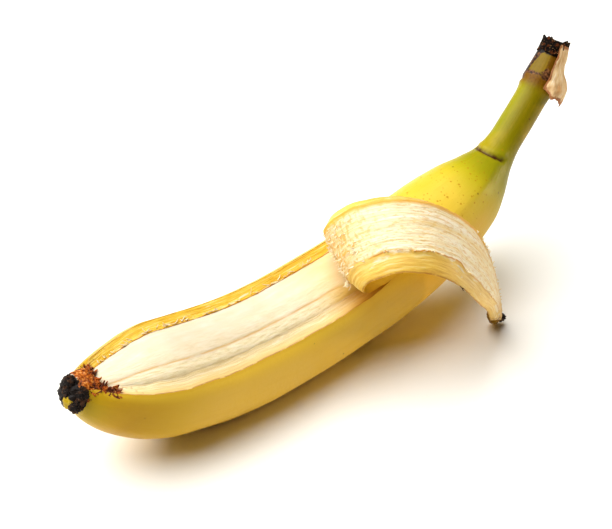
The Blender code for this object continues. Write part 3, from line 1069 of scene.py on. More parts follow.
    def relief(self, mesh: bpy.types.Mesh) -> list[float]:
        """How far each vertex stands proud of the plain shape."""
        heights = []
        for vertex, (row, column, depth, flap) in zip(mesh.vertices, marks(mesh, *self.layers)):
            s, cap = self.rows[round(row)]
            where = vertex.co / MM
            if cap < 1 and (s > 0 or depth):
                heights.append(0.0)
            elif depth == 0.0:
                angle = self.angle(s, column, 0.0)
                smooth = 0.16 * noise.noise(where / 15) + 0.05 * noise.noise(where / 4)
                smooth += ease(s, 0.6, -0.8) * (0.7 * noise.noise(where / 1.3)
                                                + 0.4 * noise.noise(where / 0.6) + 0.1)
                if not flap:
                    smooth += self.neck_fold(s, angle) + self.scab(s, angle, where)
                heights.append(smooth if where.z > self.settle else 0.0)
            elif depth == 1.0:
                heights.append(self.pith_relief(s, column) if flap else 0.0)
            else:
                fade = min(depth, 1 - depth) * 4
                streak = wander(s / 9.0, depth * 4.0, column) + 0.5 * wander(s / 1.6, depth * 6)
                heights.append(0.13 * min(1.0, fade) * streak)
        return heights

    def scab(self, s: float, angle: float, where: Vector) -> float:
        """Lumps of dried tissue on what is torn bare beside the scar."""
        bare = self.bared(max(s, 3.0), angle) * ease(s, 6.0, 4.8) * ease(s, -1.5, 0.0)
        return bare * (0.55 * noise.noise(where / 1.1) + 0.35 * noise.noise(where / 0.5)
                       + 0.35 * ease(s, 4.5, 2.0))

    @staticmethod
    def fold_line(angle: float) -> float:
        """Where along the fruit the neck's fold lies at an angle."""
        return 174.6 - 0.9 * math.cos(math.radians((angle - 20) * 2))

    def neck_fold(self, s: float, angle: float) -> float:
        """The fold at the neck and the rings round the stem's end."""
        side = ease(angle, -46, -30) * ease(angle, 84, 66)
        line = self.fold_line(angle)
        fold = -0.75 * bump(s, line, 0.8) + 0.35 * bump(s, line + 1.9, 1.1)
        rings = 0.22 * bump(s, 202.6, 0.7) - 0.25 * bump(s, 204.0, 0.6) + 0.2 * bump(s, 205.4, 0.7)
        panel = -0.35 * ease(s, 206.4, 207.4) * ease(angle, -8, 6) * ease(angle, 96, 80)
        return side * fold + rings + panel

    def pith_relief(self, s: float, column: float) -> float:
        """Strings along the strip's white side, and cracks where it folds over."""
        u = (self.form.window_end - s) * self.stretch
        across = self.share(column) * self.half_window
        strings = 0.22 * (1 - 2 * abs(wander(across / 2.6, u / 70, 4.0)))
        strings += 0.07 * wander(across / 0.9, u / 14, 8.0)
        folded = ease(u, 4, 12) * ease(u, 40, 26)
        cracks = 0.55 * abs(wander(u / 1.5, across / 4, 15.0)) * folded
        lumps = 0.15 * wander(u / 3.0, across / 2.5, 23.0) + 0.16 * wander(u / 1.4, across / 1.1)
        return (strings + lumps - cracks) * ease(u, 0, 8)

    def colour_marks(self, mesh: bpy.types.Mesh) -> None:
        """Store the numbers that the finishes read."""
        names = SKIN_MARKS + INNER_MARKS
        table: dict[str, list[float]] = {name: [] for name in names}
        spots = []
        for row, column, depth, flap in marks(mesh, *self.layers):
            s, cap = self.rows[round(row)]
            angle = (self.angle(s, column, 0.0) + 180) % 360 - 180
            share = self.share(column)
            values = dict.fromkeys(names, 0.0)
            values.update(self.place_marks(s, angle, cap))
            values["lip_and_shade"] = 0.2 * ease(self.beside_tear(s, share), 0.7, 0.0) * (depth == 0)
            if flap:
                self.mark_strip(values, s, share, depth)
            else:
                self.mark_tears(values, s, share, depth)
            for name in names:
                table[name].append(values[name])
            across = share * self.half_window if flap else math.radians(angle) * self.round_fruit
            spots.append(Vector((s, across, depth * self.grain_depth)))
        for name in names:
            number(mesh, name, table[name])
        grain(mesh, spots)

    @staticmethod
    def mark_strip(values: dict[str, float], s: float, share: float, depth: float) -> None:
        """Set the numbers that are different on the folded strip."""
        values["front"] = 0.9 * ease(share, 0.4, 0.8)
        # Painted shade over the far half of the strip's skin side, where the light falls strongest.
        values["lip_and_shade"] += 0.62 * ease(share, 0.45, 0.9) * (depth == 0)
        values["gold"] = 0.3 * ease(share, -0.94, -1.0) + 0.9 * ease(share, 0.86, 0.92)
        values["gold"] += 0.6 * ease(s, 22, 8)
        values["pale"] = 0.22 + 0.22 * ease(s, 62, 50) if share < 0 else 0.1
        # The strip's fold: painted shade and cracks on its white side.
        values["bend"] = ease(s, 116, 108) * ease(s, 74, 92)
        values["brown"] = 0.35 * ease(s, 10, 7)

    @staticmethod
    def mark_tears(values: dict[str, float], s: float, share: float, depth: float) -> None:
        """Set the numbers of the torn faces beside the window."""
        near = share < 0
        rusty = ease(s, 12.5, 6.5) if near else 0.55 * ease(s, 9.5, 4.5)
        values["brown"] += 0.9 * rusty * ease(abs(depth - 0.5), 0.52, 0.4)
        values["brown"] += 0.22 * ease(s, 24, 14) * (0.0 < depth < 0.9)
        # Towards the strip's root the near tear loses its pale colour and turns orange: painted
        # shade in the crevice there.
        values["pale"] = 0.95 * ease(s, 112, 90) if near else 0.0
        values["root"] = 0.85 * ease(s, 86, 102) if near else 0.0

    def beside_tear(self, s: float, share: float) -> float:
        """Distance from the nearest tear, and without end where there is none."""
        if self.form.window_start - 1 < s < self.form.window_end:
            return abs(abs(share) - 1) * self.round_fruit
        return math.inf

    def place_marks(self, s: float, angle: float, cap: float) -> dict[str, float]:
        """The skin's colouring at a distance and an angle."""
        side = ease(angle, -44, -32) * ease(angle, 80, 66)
        # The neck's fold: a dark line of uneven width, partly brown tissue and partly painted shade
        # in the crease.
        crease = side * bump(s, self.fold_line(angle), 0.5 + 0.25 * abs(wander(angle / 9.0, 3.0)))
        # At the stem's end: a dark outline, and a paler panel with an edge and a split.
        wide = -22 + 2.6 * max(0.0, s - 206)
        outline = ease(angle, wide + 10, wide - 4) * ease(s, 202.5, 204.5) * ease(angle, -175, -150)
        panel_edge = 0.95 * bump(s, 206.5 + 0.012 * angle, 0.95) * ease(angle, -30, -16)
        panel_edge *= ease(angle, 100, 84)
        split = 1.3 * bump(angle, 56, 16.0) * ease(s, 204.4, 206) * ease(s, 211.5, 208)
        panel = ease(s, 206.0, 207.2) * ease(angle, -26, -14) * ease(angle, 52, 38)
        top = ease(s, 213.4, 214.6)
        edge = self.form.near_tear.at(s)
        # The rind torn off beside the scar.
        bare = self.bared(max(s, 3.5), angle) * ease(s, 6.0, 5.6) * ease(s, -2.0, -0.5)
        return {
            "along": s,
            "front": 0.85 * ease(s, 172, 146) * ease(s, 20, 46)
                     * max(ease(angle, 74, 98), ease(angle, -90, -170)),
            # Painted highlight on the skin just below the near tear, where it tilts up to the
            # light.
            "edge_highlight": 0.6 * ease(angle, edge + 15, edge + 2) * ease(angle, edge - 3, edge - 1)
                    * ease(s, 4, 9) * ease(s, 104, 80),
            "freckle": 0.9 * ease(s, 112, 128) * ease(s, 186, 168) * ease(angle, 96, 66),
            "speck": 0.22 + 0.3 * ease(s, 120, 140),
            "green": 0.32 * ease(s, 156, 171) * bump(angle, 62, 30) * ease(s, 190, 174)
                     + 0.35 * ease(s, 150, 170) * ease(s, 180, 174)
                     + 0.6 * ease(s, 174, 184) * ease(s, 204, 200) * ease(angle, 40, -10)
                     + 0.25 * ease(s, 10, 2) * ease(angle, 78, 112),
            "amber": max((0.95 - 0.5 * panel) * ease(s, 200.5, 204.5),
                         0.2 * ease(s, 5, 14) * ease(s, 50, 26) * ease(angle, 66, 92)),
            "fold": min(1.0, 1.6 * crease),
            "brown": max(0.8 * outline, 0.8 * panel_edge, min(0.8, 0.72 * split), 0.6 * top),
            "char": max(0.75 * top, 0.52 * outline, 1.0 - cap if s > 100 else 0.0,
                        ease(s, 0.2, -0.9) * ease(abs((angle - 150 + 180) % 360 - 180), 20, 45)),
            "bare": bare,
            "rust": bare * (0.95 * ease(s, 6.4, 3.4) + 0.35 + 0.35 * ease(angle, 0, 40)),
        }

    def dress(self, item: bpy.types.Object) -> None:
        """Give the skin, the torn faces and the white side their finishes."""
        mesh = item.data
        for finish in (SKIN, PITH, TEAR):
            mesh.materials.append(finish.make())
        depth = numbers(mesh, "depth")
        for face in mesh.polygons:
            depths = [depth[i] for i in face.vertices]
            face.material_index = 0 if max(depths) == 0 else (1 if min(depths) == 1 else 2)

    def build(self) -> bpy.types.Object:
        """Roll, tear, fold and dress the peel."""
        item = sheet("banana_peel", len(self.rows) - 1, self.columns)
        for name in ("depth", "flap"):
            number(item.data, name, [0.0] * len(item.data.vertices))
        self.shape(item)
        merge(item)
        self.tear(item)
        self.thicken(item)
        self.shape(item)
        merge(item, 0.000001)
        face_out(item)
        raise_relief(item, self.relief(item.data))
        self.colour_marks(item.data)
        self.dress(item)
        return item


@dataclass
class Flesh:
    """The edible inside, one solid from the blossom end to the neck."""

    form: FruitForm
    gap: float = 0.12               # between the flesh and the peel
    start: float = 4.0
    shorter: float = 1.0            # it ends this much sooner than the hollow
    step: float = 1.0
    window: tuple[float, float] = (-34.0, 84.0)   # the flesh shows between these angles
    window_columns: int = 100
    hidden_columns: int = 40
    round_fruit: float = 15.0       # one radian round the fruit is about this long
    line: Curve = Curve(((4, 60), (9, 53), (18, 46), (27, 46.5), (36, 47.6), (45, 47.0), (55, 45),
                         (73, 43.2), (92, 44), (99, 47), (118, 58)))

    def angles(self) -> list[float]:
        """Angles of the columns, close together where the flesh shows."""
        low, high = self.window
        shown = [low + (high - low) * i / self.window_columns for i in range(self.window_columns)]
        rest = [high + (low + 360 - high) * i / self.hidden_columns
                for i in range(self.hidden_columns + 1)]
        return shown + rest

    def below_line(self, s: float, angle: float, radius: float) -> float:
        """Distance in millimetres below the line between the two facets."""
        line = self.line.at(s) + 1.0 * wander(s / 6.0, 91.0) + 0.4 * wander(s / 1.7, 95.0)
        return math.radians((angle + 180) % 360 - 180 - line) * radius

    def rows(self) -> list[tuple[float, float]]:
        """Distance along the fruit and share of the radius of each row."""
        end = self.form.hollow_end - self.shorter
        count = round((end - self.start) / self.step)
        rows = [(self.start, share) for share in (0.0, 0.5)]
        rows += [(self.start + (end - self.start) * i / count, 1.0) for i in range(count)]
        return rows + [(end, 0.0)]

    def relief(self, s: float, angle: float, below: float, lower: float) -> float:
        """Soft waves, a groove along the line, and a finer grain on the lower facet."""
        height = -0.10 * bump(below, 0.0, 0.4) + 0.10 * wander(s / 13, angle / 12)
        height += lower * (0.07 * wander(s / 3.2, angle / 5, 3.0) - 0.05)
        return height + 0.03 * wander(s / 2.4, angle / 4, 9.0)

    @staticmethod
    def looks(s: float, below: float, lower: float, shown: float) -> dict[str, float]:
        """The numbers that the flesh's finish reads.

        Args:
            s: Distance along the fruit.
            below: Distance below the line between the two facets.
            lower: 1 on the lower facet.
            shown: 1 down to where the peel hides the flesh.

        Returns:
            Each number by its name.
        """
        # Painted warm shade in the trough and near the strip's root, and painted deep shade by the
        # root.
        trough_shade = 0.35 * ease(below, 2.6, 5.5) + 0.4 * ease(below, 4.0, 7.5)
        root_shade = ease(s, 84, 101) * ease(below, -2.0, 2.5) * shown
        return {
            "line": 0.8 * bump(below, 0.0, 0.3),
            "facet": lower + 0.45 * ease(below, -10.0, -1.0) * (below <= 0),
            "gold": min(1.0, trough_shade * shown + 0.6 * root_shade + 0.5 * ease(s, 80, 100)),
            "root": 0.8 * ease(s, 89, 103) * ease(below, 0.0, 4.0) * shown,
        }

    def build(self) -> bpy.types.Object:
        """Roll the flesh, mark its facets and dress it."""
        form = self.form
        rows, angles = self.rows(), self.angles()
        item = sheet("banana_flesh", len(rows) - 1, len(angles) - 1)
        mesh = item.data
        table: dict[str, list[float]] = {"line": [], "facet": [], "gold": [], "root": []}
        spots, grains = [], []
        for row, column in marks(mesh, "row", "column"):
            s, cap = rows[round(row)]
            angle = angles[round(column)]
            radius = form.hollow_radius(s, angle, self.shorter) - self.gap
            below = self.below_line(s, angle, radius)
            shown = ease(below, 16, 14)
            lower = ease(below, 0.0, 1.2) * shown
            radius += self.relief(s, angle, below, lower)
            spots.append(form.point(s, angle, max(0.0, radius) * cap))
            for name, value in self.looks(s, below, lower, shown).items():
                table[name].append(value)
            grains.append(Vector((s, math.radians(angle) * self.round_fruit, 0.0)))
        for name, values in table.items():
            number(mesh, name, values)
        grain(mesh, grains)
        place_vertices(item, spots)
        merge(item)
        face_out(item)
        mesh.materials.append(FLESH.make())
        return item


@dataclass
class Lump:
    """A crusty lump: a ball pressed to half sizes, then broken up all over."""

    centre: Vector
    half: Vector
    turn: Quaternion
    jag: float                      # how far its surface is broken up
    seed: float
    fineness: int = 5
    crisp: float = math.radians(70)

    def build(self, name: str) -> bpy.types.Object:
        """Make one lump in place."""
        bpy.ops.object.select_all(action="DESELECT")
        bpy.ops.mesh.primitive_ico_sphere_add(subdivisions=self.fineness, radius=1)
        item = bpy.context.object
        item.name = name
        spots = []
        for vertex in item.data.vertices:
            way = vertex.co.normalized()
            where = way * 2.2 + Vector((self.seed, self.seed * 2, 0))
            rough = noise.turbulence(where, 4, True) - 0.9
            rough += 0.5 * noise.turbulence(where * 3, 2, True)
            size = Vector((way.x * self.half.x, way.y * self.half.y, way.z * self.half.z))
            spots.append(self.centre + self.turn @ (size + way * self.jag * rough))
        place_vertices(item, spots)
        face_out(item, self.crisp)
        return item


@dataclass
class Flake:
    """A small torn flake: a tapering, curled sheet with some thickness."""

    long: float = 3.0
    wide: float = 1.2
    thick: float = 0.25
    curl: float = 50.0
    steps: int = 5

    def build(self, name: str, seed: float) -> bpy.types.Object:
        """Make one flake at the origin, lying along +X and curling up towards +Z."""
        item = sheet(name, self.steps, 2)
        mesh = item.data
        spots = []
        bend = math.radians(self.curl)
        for row, column in marks(mesh, "row", "column"):
            t = row / self.steps
            side = column - 1
            half = self.wide / 2 * (1 - 0.85 * t ** 1.5) * (1 + 0.35 * wander(t * 3, side, seed))
            away = self.long * (math.sin(bend * t) / bend if bend else t)
            up = self.long * ((1 - math.cos(bend * t)) / bend if bend else 0)
            spots.append(Vector((away, side * half + 0.3 * wander(t * 2, seed, 5.0), up)))
        number(mesh, "rim", [row / self.steps for row in numbers(mesh, "row")])
        grain(mesh, spots)
        place_vertices(item, spots)
        stiffen(item, self.thick)
        return item

    def lay(self, name: str, seed: float, at: Vector, along: Vector, up: Vector
            ) -> bpy.types.Object:
        """Make a flake and lay it at a place, pointing along a direction."""
        item = self.build(name, seed)
        x = along.normalized()
        y = up.cross(x).normalized()
        turn = Matrix((x, y, x.cross(y))).transposed().to_4x4()
        item.data.transform(Matrix.Translation(at * MM) @ turn)
        return item


@dataclass
class BlossomEnd:
    """The dried flower remnant and the rusty torn tissue beside it."""

    form: FruitForm
    flakes: int = 70
    rust_lumps: int = 9
    scar_offset: tuple[float, float, float] = (1.0, -2.0, -1.1)
    bare_end: float = 4.9           # up to here flakes lie all over, and beyond it by the tears

    def scar(self) -> bpy.types.Object:
        """The black crusty knob."""
        at, ahead, up, front = self.form.frame(-1.2)
        back = -ahead
        middle = at + front * 0.9 + up * 0.2 + back * 0.2 + Vector(self.scar_offset)
        turn = Matrix((ahead, up, front)).transposed().to_quaternion()
        rows = (
            (middle, (2.5, 4.9, 4.6), 1.0, 3.0, 5),
            (middle + up * 3.6 - front * 1.2 + back * 0.6, (1.8, 1.8, 2.1), 0.7, 9.0, 4),
            (middle - up * 2.6 + front * 1.1 + back * 0.8, (1.8, 2.5, 2.7), 0.9, 17.0, 4),
            (middle + front * 3.0 + up * 1.5 + back * 0.5, (1.8, 2.2, 1.8), 0.8, 29.0, 4),
            (middle + Vector((-0.4, 2.9, 3.9)), (1.9, 2.1, 2.3), 0.8, 37.0, 4),
            (middle + Vector((-1.5, 2.4, 1.2)), (1.8, 2.4, 2.4), 0.8, 43.0, 4),
            (at + back * 0.2 - front * 1.9 - up * 0.6, (1.0, 3.0, 2.3), 0.5, 57.0, 5),
        )
        lumps = [Lump(spot, Vector(half), turn, jag, seed, fineness)
                 for spot, half, jag, seed, fineness in rows]
        return joined([lump.build(f"scar_{i}") for i, lump in enumerate(lumps)], "blossom_scar",
                      SCAR)

    def tissue(self) -> bpy.types.Object:
        """Rusty flakes and lumps over the torn edge next to the scar."""
        chance = random.Random(41)
        items = [self.flake(chance, i) for i in range(self.flakes)]
        items += [self.rust_lump(chance, i) for i in range(self.rust_lumps)]
        return joined(items, "blossom_tissue", RUST)

    def flake(self, chance: random.Random, i: int) -> bpy.types.Object:
        """Lay one flake near the scar, or where one of the tears begins."""
        form = self.form
        s = chance.uniform(1.4, 8.6) if i % 3 else chance.uniform(1.4, self.bare_end)
        angle = chance.uniform(-32, 84)
        if s > self.bare_end:
            edge = form.near_tear.at(s)
            angle = chance.choice((chance.uniform(-34, -14), edge + chance.uniform(-6, 3),
                                   edge + chance.uniform(-9, 3)))
        if angle < -10:
            s *= 0.8
        at, ahead, out = form.outward(s, angle)
        sunk = 0.2 + 1.9 * ease(s, 1.2, 5.0) * ease(angle, -30, -18) * ease(angle, 73, 61)
        if s > self.bare_end:
            sunk = 0.1 + 0.22 * max(0.0, form.near_tear.at(s) - abs(angle))
        radius = form.skin_radius(s, angle) - min(sunk, 2.6)
        spin = chance.uniform(-1.3, 1.3)
        along = (ahead * math.cos(spin) + out.cross(ahead) * math.sin(spin)) + out * 0.15
        flake = Flake(chance.uniform(1.2, 3.0), chance.uniform(0.8, 1.7),
                      chance.uniform(0.25, 0.5), chance.uniform(-30, 60), 4)
        return flake.lay(f"tissue_{i}", i * 1.7, at + out * radius, along, out)

    def rust_lump(self, chance: random.Random, i: int) -> bpy.types.Object:
        """Lay one flat lump in the row round the scar."""
        s, angle = chance.uniform(2.0, 4.4), -22 + 14.5 * i
        at, ahead, out = self.form.outward(s, angle)
        where = at + out * (self.form.skin_radius(s, angle) - 0.5 - 1.5 * ease(s, 1.2, 5.0))
        size = Vector((chance.uniform(1.3, 2.2), chance.uniform(1.0, 1.6), 0.9))
        turn = Matrix((ahead, out.cross(ahead), out)).transposed().to_quaternion()
        return Lump(where, size, turn, 0.55, 50 + i * 3.0, 4).build(f"rust_{i}")


@dataclass
class StemEnd:
    """The blackened cut end of the stem and the papery sheath that hangs from it."""

    form: FruitForm
    columns: int = 56
    wall_rows: int = 8
    face_rows: int = 8
    low: float = 215.2              # where the blackened crown begins
    high: float = 219.6             # and where it ends, before its peaks
    sunk: float = 1.6               # the cut face lies this much deeper
    crisp: float = math.radians(80)
    sheath_rows: int = 26
    sheath_columns: int = 30
    sheath_side: float = 66.0       # the angle the sheath begins at
    sheath_turn: float = 92.0       # and how far round it goes
    sheath_top: float = 219.0
    sheath_bottom: float = 201.6
    sheath_thickness: float = 0.35

    def crown(self, x: float, y: float, angle: float) -> tuple[float, float]:
        """Where the crown's ragged skirt and its peaks are, for a way round the stem.

        Args:
            x: Cosine of the angle.
            y: Sine of the angle.
            angle: The angle itself.

        Returns:
            Distances along the fruit, of the skirt and of the peak.
        """
        peak = 1.5 * wander(x * 1.9, y * 1.9, 2.0)
        peak += 1.2 * wander(x * 4.5, y * 4.5, 6.0)
        peak += 1.1 * bump(angle, -30, 22) + 1.3 * bump(angle, 98, 16)
        skirt = self.low + 1.2 * wander(x * 2.4, y * 2.4, 20.0)
        return skirt + 0.7 * wander(x * 6.0, y * 6.0, 24.0), self.high + peak

    def crown_point(self, row: float, angle: float) -> Vector:
        """A point of the crown: tucked in, then up its wall, then in over its cut face."""
        form = self.form
        x, y = math.cos(math.radians(angle)), math.sin(math.radians(angle))
        skirt, top = self.crown(x, y, angle)
        if row == 0:
            return form.point(skirt - 0.3, angle, form.radius.at(skirt) - 0.7)
        if row > self.wall_rows + self.face_rows:
            return self.beyond(self.high - self.sunk, angle, 0.0)
        if row <= self.wall_rows:
            t = (row - 1) / (self.wall_rows - 1)
            s = skirt + (top - skirt) * t
            radius = form.radius.at(s) + 0.35 + 0.25 * t
            return self.beyond(s, angle, radius + 0.45 * wander(s / 2.0, x * 4, y * 4))
        t = (row - self.wall_rows) / (self.face_rows + 1)
        s = top + (self.high - self.sunk - top) * ease(t, 0.0, 0.45)
        s += 0.8 * wander(x * 5 * (1 - t), y * 5 * (1 - t), 12.0) * ease(t, 0, 0.4)
        return self.beyond(s, angle, (form.radius.at(self.high) + 0.1) * (1 - t) ** 0.8)

    def stub(self) -> bpy.types.Object:
        """The ragged crown round the cut face."""
        item = sheet("stem_stub", self.wall_rows + self.face_rows + 1, self.columns)
        mesh = item.data
        place_vertices(item, [self.crown_point(row, 360.0 * column / self.columns - 180)
                              for row, column in marks(mesh, "row", "column")])
        merge(item)
        only(item)
        bpy.ops.object.mode_set(mode="EDIT")
        bpy.ops.mesh.select_all(action="DESELECT")
        bpy.ops.mesh.select_non_manifold()
        bpy.ops.mesh.edge_face_add()
        bpy.ops.object.mode_set(mode="OBJECT")
        face_out(item, self.crisp)
        mesh.materials.append(STUB.make())
        return item

    def beyond(self, s: float, angle: float, radius: float) -> Vector:
        """A point of the stem, carried straight on past its end."""
        form = self.form
        extra = max(0.0, s - form.end + 0.5)
        return form.point(min(s, form.end - 0.5), angle, radius) + form.frame(form.end)[1] * extra

    def sheath(self) -> bpy.types.Object:
        """The dry sheet on the stem's far side, flaring out at its ragged lower edge."""
        form = self.form
        item = sheet("stem_sheath", self.sheath_rows, self.sheath_columns)
        mesh = item.data
        spots, rims, grains = [], [], []
        for row, column in marks(mesh, "row", "column"):
            t, side = row / self.sheath_rows, column / self.sheath_columns
            angle = self.sheath_side + self.sheath_turn * side
            ragged = 1.5 * wander(side * 5.0, 3.0) + 0.9 * wander(side * 13.0, 8.0)
            bottom = self.sheath_bottom + ragged + 2.0 * ease(side, 0.8, 1.0)
            bottom += 1.2 * ease(side, 0.25, 0.0)
            s = self.sheath_top + (bottom - self.sheath_top) * t
            flare = 0.55 + 3.4 * ease(t, 0.35, 0.85) * ease(side, 0.0, 0.45)
            flare += 0.35 * wander(t * 5, side * 4, 2.0) + 0.5 * wander(t * 9, side * 8, 7.0) * t
            radius = form.radius.at(s) + max(0.35, flare)
            spots.append(form.point(s, angle + 2.5 * wander(t * 6, side, 4.0), radius))
            rims.append(max(ease(t, 0.86, 1.0), ease(side, 0.12, 0.0), 0.8 * ease(t, 0.14, 0.0)))
            grains.append(Vector((t * 18, side * 9, 0)))
        number(mesh, "rim", rims)
        grain(mesh, grains)
        place_vertices(item, spots)
        stiffen(item, self.sheath_thickness)
        mesh.materials.append(PAPER.make())
        return item


@dataclass
class StripTip:
    """The end of the strip: a bit of thick skin with a dark piece of the flower scar."""

    strip: StripForm
    inwards: tuple[float, float, float] = (-0.8, 0.6, 0.3)
    dark_offset: tuple[float, float, float] = (1.3, -0.9, 0.1)

    def build(self) -> list[bpy.types.Object]:
        """Make the yellow end and the dark bit."""
        strip = self.strip
        _, ahead, across, face = strip.frames[-1]
        turn = Matrix((ahead, across, face)).transposed().to_quaternion()
        middle = strip.point(strip.length, 0.0, 0.5) + Vector(self.inwards)
        end = Lump(middle - ahead * 2.2, Vector((4.0, 3.0, 2.4)), turn, 0.5, 5.0, 4
                   ).build("strip_end")
        lift(end, 0.15)
        spots = [vertex.co.copy() / MM for vertex in end.data.vertices]
        looks = {"along": 8.0, "speck": 0.6, "amber": 0.7}
        for name in SKIN_MARKS:
            number(end.data, name, [looks.get(name, 0.0)] * len(spots))
        # Brown all over, browner towards its lowest point: painted contact shade where it rests on
        # the floor.
        number(end.data, "brown", [0.3 + 0.5 * ease(spot.z, 1.4, 0.3) for spot in spots])
        grain(end.data, spots)
        end.data.materials.append(SKIN.make())
        dark = Lump(middle + Vector(self.dark_offset), Vector((1.7, 1.8, 2.3)), turn, 0.9, 13.0, 4
                    ).build("strip_scar")
        lift(dark, 0.1)
        dark.data.materials.append(RIND_SCAR.make())
        return [end, dark]


@dataclass(frozen=True)
class Shreds:
    """The sizes of one kind of loose shred, each from a least to a most."""

    long: tuple[float, float]
    wide: tuple[float, float]
    thick: float
    curl: tuple[float, float]
    steps: int = 4

    def draw(self, chance: random.Random) -> Flake:
        """Draw one of the kind."""
        return Flake(chance.uniform(*self.long), chance.uniform(*self.wide), self.thick,
                     chance.uniform(*self.curl), self.steps)


@dataclass
class LooseFibres:
    """Shreds of pith that stand off the strip and the tears, and a few dark hairs."""

    form: FruitForm
    strip: StripForm
    fold_count: int = 150
    edge_count: int = 60
    line_count: int = 34
    hanging_count: int = 9          # the first of these hang curled under the fold
    tear_count: int = 70
    on_fold: Shreds = Shreds((0.7, 1.7), (0.25, 0.55), 0.14, (-40, 70))
    on_edge: Shreds = Shreds((0.6, 1.5), (0.4, 0.8), 0.2, (-40, 60))
    hanging: Shreds = Shreds((0.8, 3.0), (0.3, 0.7), 0.18, (40, 200), 5)
    on_line: Shreds = Shreds((0.8, 2.0), (0.3, 0.7), 0.18, (40, 90), 5)
    on_tear: Shreds = Shreds((0.8, 2.4), (0.25, 0.6), 0.16, (-20, 50))
    hair_sizes: tuple[tuple[float, float], ...] = ((3.4, 0.35), (2.6, -0.3), (1.6, 0.1))
    hairs_at: float = 68.6

    def on_strip(self, u: float, share: float) -> tuple[Vector, Vector, Vector, Vector]:
        """Place, way along, way across and way out on the strip's white side."""
        strip = self.strip
        at = strip.point(u, share, 1.0)
        along = (strip.point(u + 0.6, share, 1.0) - at).normalized()
        across = strip.point(u, min(1.0, share + 0.04), 1.0) - strip.point(u, share - 0.04, 1.0)
        out = -strip.frames[int(u)][3]
        return at, along, across.normalized(), out

    def shreds(self) -> bpy.types.Object:
        """The pale shreds."""
        chance = random.Random(7)
        items = []
        for i in range(self.fold_count):
            at, along, across, out = self.on_strip(chance.uniform(9, 34),
                                                   chance.uniform(-0.72, 0.97))
            way = across * chance.uniform(-1, 1) + along * chance.uniform(-0.5, 0.5) + out * 0.45
            items.append(self.on_fold.draw(chance).lay(f"fold_{i}", i * 1.3, at - out * 0.1, way,
                                                       out))
        for i in range(self.edge_count):
            at, along, across, out = self.on_strip(chance.uniform(76, 113), 1.0)
            way = across * 0.9 + along * chance.uniform(-1, 1) + out * chance.uniform(-0.1, 0.6)
            items.append(self.on_edge.draw(chance).lay(f"edge_{i}", 300 + i * 1.3,
                                                       at - across * 0.3, way, out))
        for i in range(self.line_count):
            hangs = i < self.hanging_count
            at, along, across, out = self.on_strip(chance.uniform(16, 22 if hangs else 92), -1.0)
            way = along * chance.uniform(-1, 1) - across * 0.5 + out * chance.uniform(0.1, 0.6)
            flake = (self.hanging if hangs else self.on_line).draw(chance)
            items.append(flake.lay(f"line_{i}", 500 + i * 1.3, at - out * 0.1, way, out))
        items += [self.tear_shred(chance, i) for i in range(self.tear_count)]
        return joined(items, "loose_fibres", PITH)

    def tear_shred(self, chance: random.Random, i: int) -> bpy.types.Object:
        """Lay one shred along the far tear."""
        form = self.form
        s = chance.uniform(9, 110)
        angle = form.tear_angle(s, 1.0, chance.uniform(0.7, 1.0))
        _, ahead, out = form.outward(s, angle)
        at = form.point(s, angle, form.hollow_radius(s, angle) + 0.5)
        way = ahead * chance.uniform(-1, 1) + out.cross(ahead) * chance.uniform(-0.4, 0.4)
        return self.on_tear.draw(chance).lay(f"tear_{i}", 700 + i * 1.3, at, way + out * 0.12, out)

    def hairs(self) -> bpy.types.Object:
        """Dark hairs hanging under the strip's near edge."""
        chance = random.Random(5)
        items = []
        for i, (long, lean) in enumerate(self.hair_sizes):
            at = self.strip.point(self.hairs_at + 0.9 * i, -1.0, 0.0)
            way = Vector((0.25 + lean * 0.6, -0.2 + lean * 0.5, -1.0))
            flake = Flake(long, 0.24, 0.14, chance.uniform(30, 90), 6)
            items.append(flake.lay(f"hair_{i}", 40 + i, at + Vector((0, 0, 0.3)), way,
                                   Vector((0.3, 0.3, 0.2))))
        return joined(items, "loose_hairs", RIND_SCAR)


# ------------------------------------------------------------------ the studio
class Light(Enum):
    """Soft lights: place in metres, size in metres, power in watts and colour."""

    KEY = ((-0.377, 0.418, 1.06), 1.6, 42.5, "#ffffff")
    CARD = ((0.9, -0.42, 0.05), 0.08, 3.2, "#ffe6bc")

    def hang(self, scene: bpy.types.Scene) -> None:
        """Hang the light up, aimed at the fruit."""
        at, size, power, colour = self.value
        lamp = bpy.data.lights.new(self.name.lower(), "AREA")
        lamp.size = size
        lamp.energy = power
        lamp.color = linear(colour)[:3]
        holder = bpy.data.objects.new(self.name.lower(), lamp)
        scene.collection.objects.link(holder)
        holder.location = at
        holder.rotation_euler = (-Vector(at)).to_track_quat("-Z", "Y").to_euler()


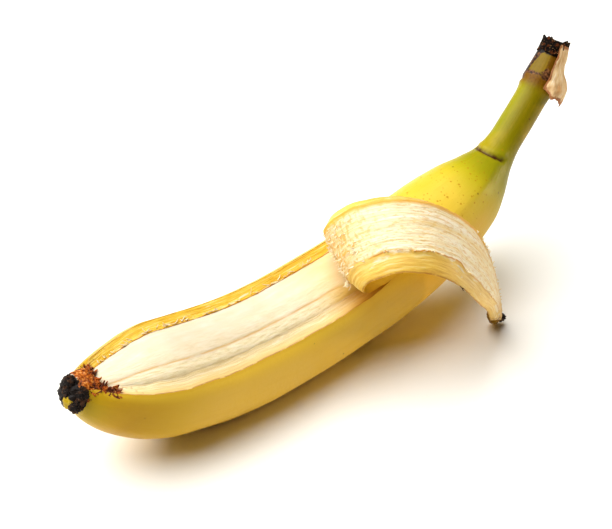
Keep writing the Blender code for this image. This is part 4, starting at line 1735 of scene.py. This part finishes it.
@dataclass
class Studio:
    """A white floor, one big soft light behind, a small warm one low down, and the camera."""

    azimuth: float = -40.0
    elevation: float = 37.0
    lens: float = 123.4
    camera_at: tuple[float, float, float] = (-318.527, -394.151, 425.528)
    floor_size: float = 6.0         # in metres
    floor_drop: float = 0.2         # a hair below what lies on it
    floor_colour: str = "#fdfbf4"
    ambient: float = 0.011          # faint light from all round

    def build(self) -> None:
        """Set up floor, lights, world and camera."""
        scene = bpy.context.scene
        scene.view_settings.view_transform = "Standard"
        self.lay_floor()
        for light in Light:
            light.hang(scene)
        world = bpy.data.worlds.new("studio")
        world.use_nodes = True
        inputs = world.node_tree.nodes["Background"].inputs
        inputs["Color"].default_value = linear("#ffffff")
        inputs["Strength"].default_value = self.ambient
        scene.world = world
        self.camera(scene)

    def lay_floor(self) -> None:
        """Lay a big matt white board under the fruit; it is staging and no part of it."""
        bpy.ops.object.select_all(action="DESELECT")
        bpy.ops.mesh.primitive_plane_add(size=self.floor_size,
                                         location=(0, 0, -self.floor_drop * MM))
        floor = bpy.context.object
        floor.name = "floor"
        paint = bpy.data.materials.new("white_board")
        paint.use_nodes = True
        inputs = paint.node_tree.nodes["Principled BSDF"].inputs
        inputs["Base Color"].default_value = linear(self.floor_colour)
        inputs["Roughness"].default_value = 0.9
        inputs["Specular IOR Level"].default_value = 0.1
        floor.data.materials.append(paint)
        floor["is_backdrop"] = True

    def camera(self, scene: bpy.types.Scene) -> None:
        """Aim a long lens down at the fruit."""
        lens = bpy.data.cameras.new("camera")
        lens.lens = self.lens
        lens.clip_start = 0.01
        holder = bpy.data.objects.new("camera", lens)
        scene.collection.objects.link(holder)
        turn, rise = math.radians(self.azimuth), math.radians(self.elevation)
        way = Vector((-math.sin(turn) * math.cos(rise), math.cos(turn) * math.cos(rise),
                      -math.sin(rise)))
        holder.location = Vector(self.camera_at) * MM
        holder.rotation_euler = way.to_track_quat("-Z", "Y").to_euler()
        scene.camera = holder


def main() -> None:
    """Build every piece in order and tie it to the frame."""
    logging.basicConfig(level=logging.INFO, format="%(name)s: %(message)s")
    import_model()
    cad_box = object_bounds()
    form = FruitForm()
    strip = StripForm(form)
    peel = Peel(form, strip).build()
    flesh = Flesh(form).build()
    blossom = BlossomEnd(form)
    stem = StemEnd(form)
    skin_pieces = [peel, blossom.scar(), blossom.tissue(), stem.stub(), stem.sheath()]
    fibres = LooseFibres(form, strip)
    skin_pieces += StripTip(strip).build() + [fibres.shreds(), fibres.hairs()]
    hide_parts("peel")
    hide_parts("flesh")
    for piece, slot in [(flesh, "banana_flesh")] + [(item, "peel_skin") for item in skin_pieces]:
        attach(piece, "root")
        LOG.info("%s: %d faces", piece.name, len(piece.data.polygons))
    Studio().build()
    boxes = {"cad": cad_box, "visual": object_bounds()}
    {name: [list(corner) for corner in box] for name, box in boxes.items()}


if __name__ == "__main__":
    main()
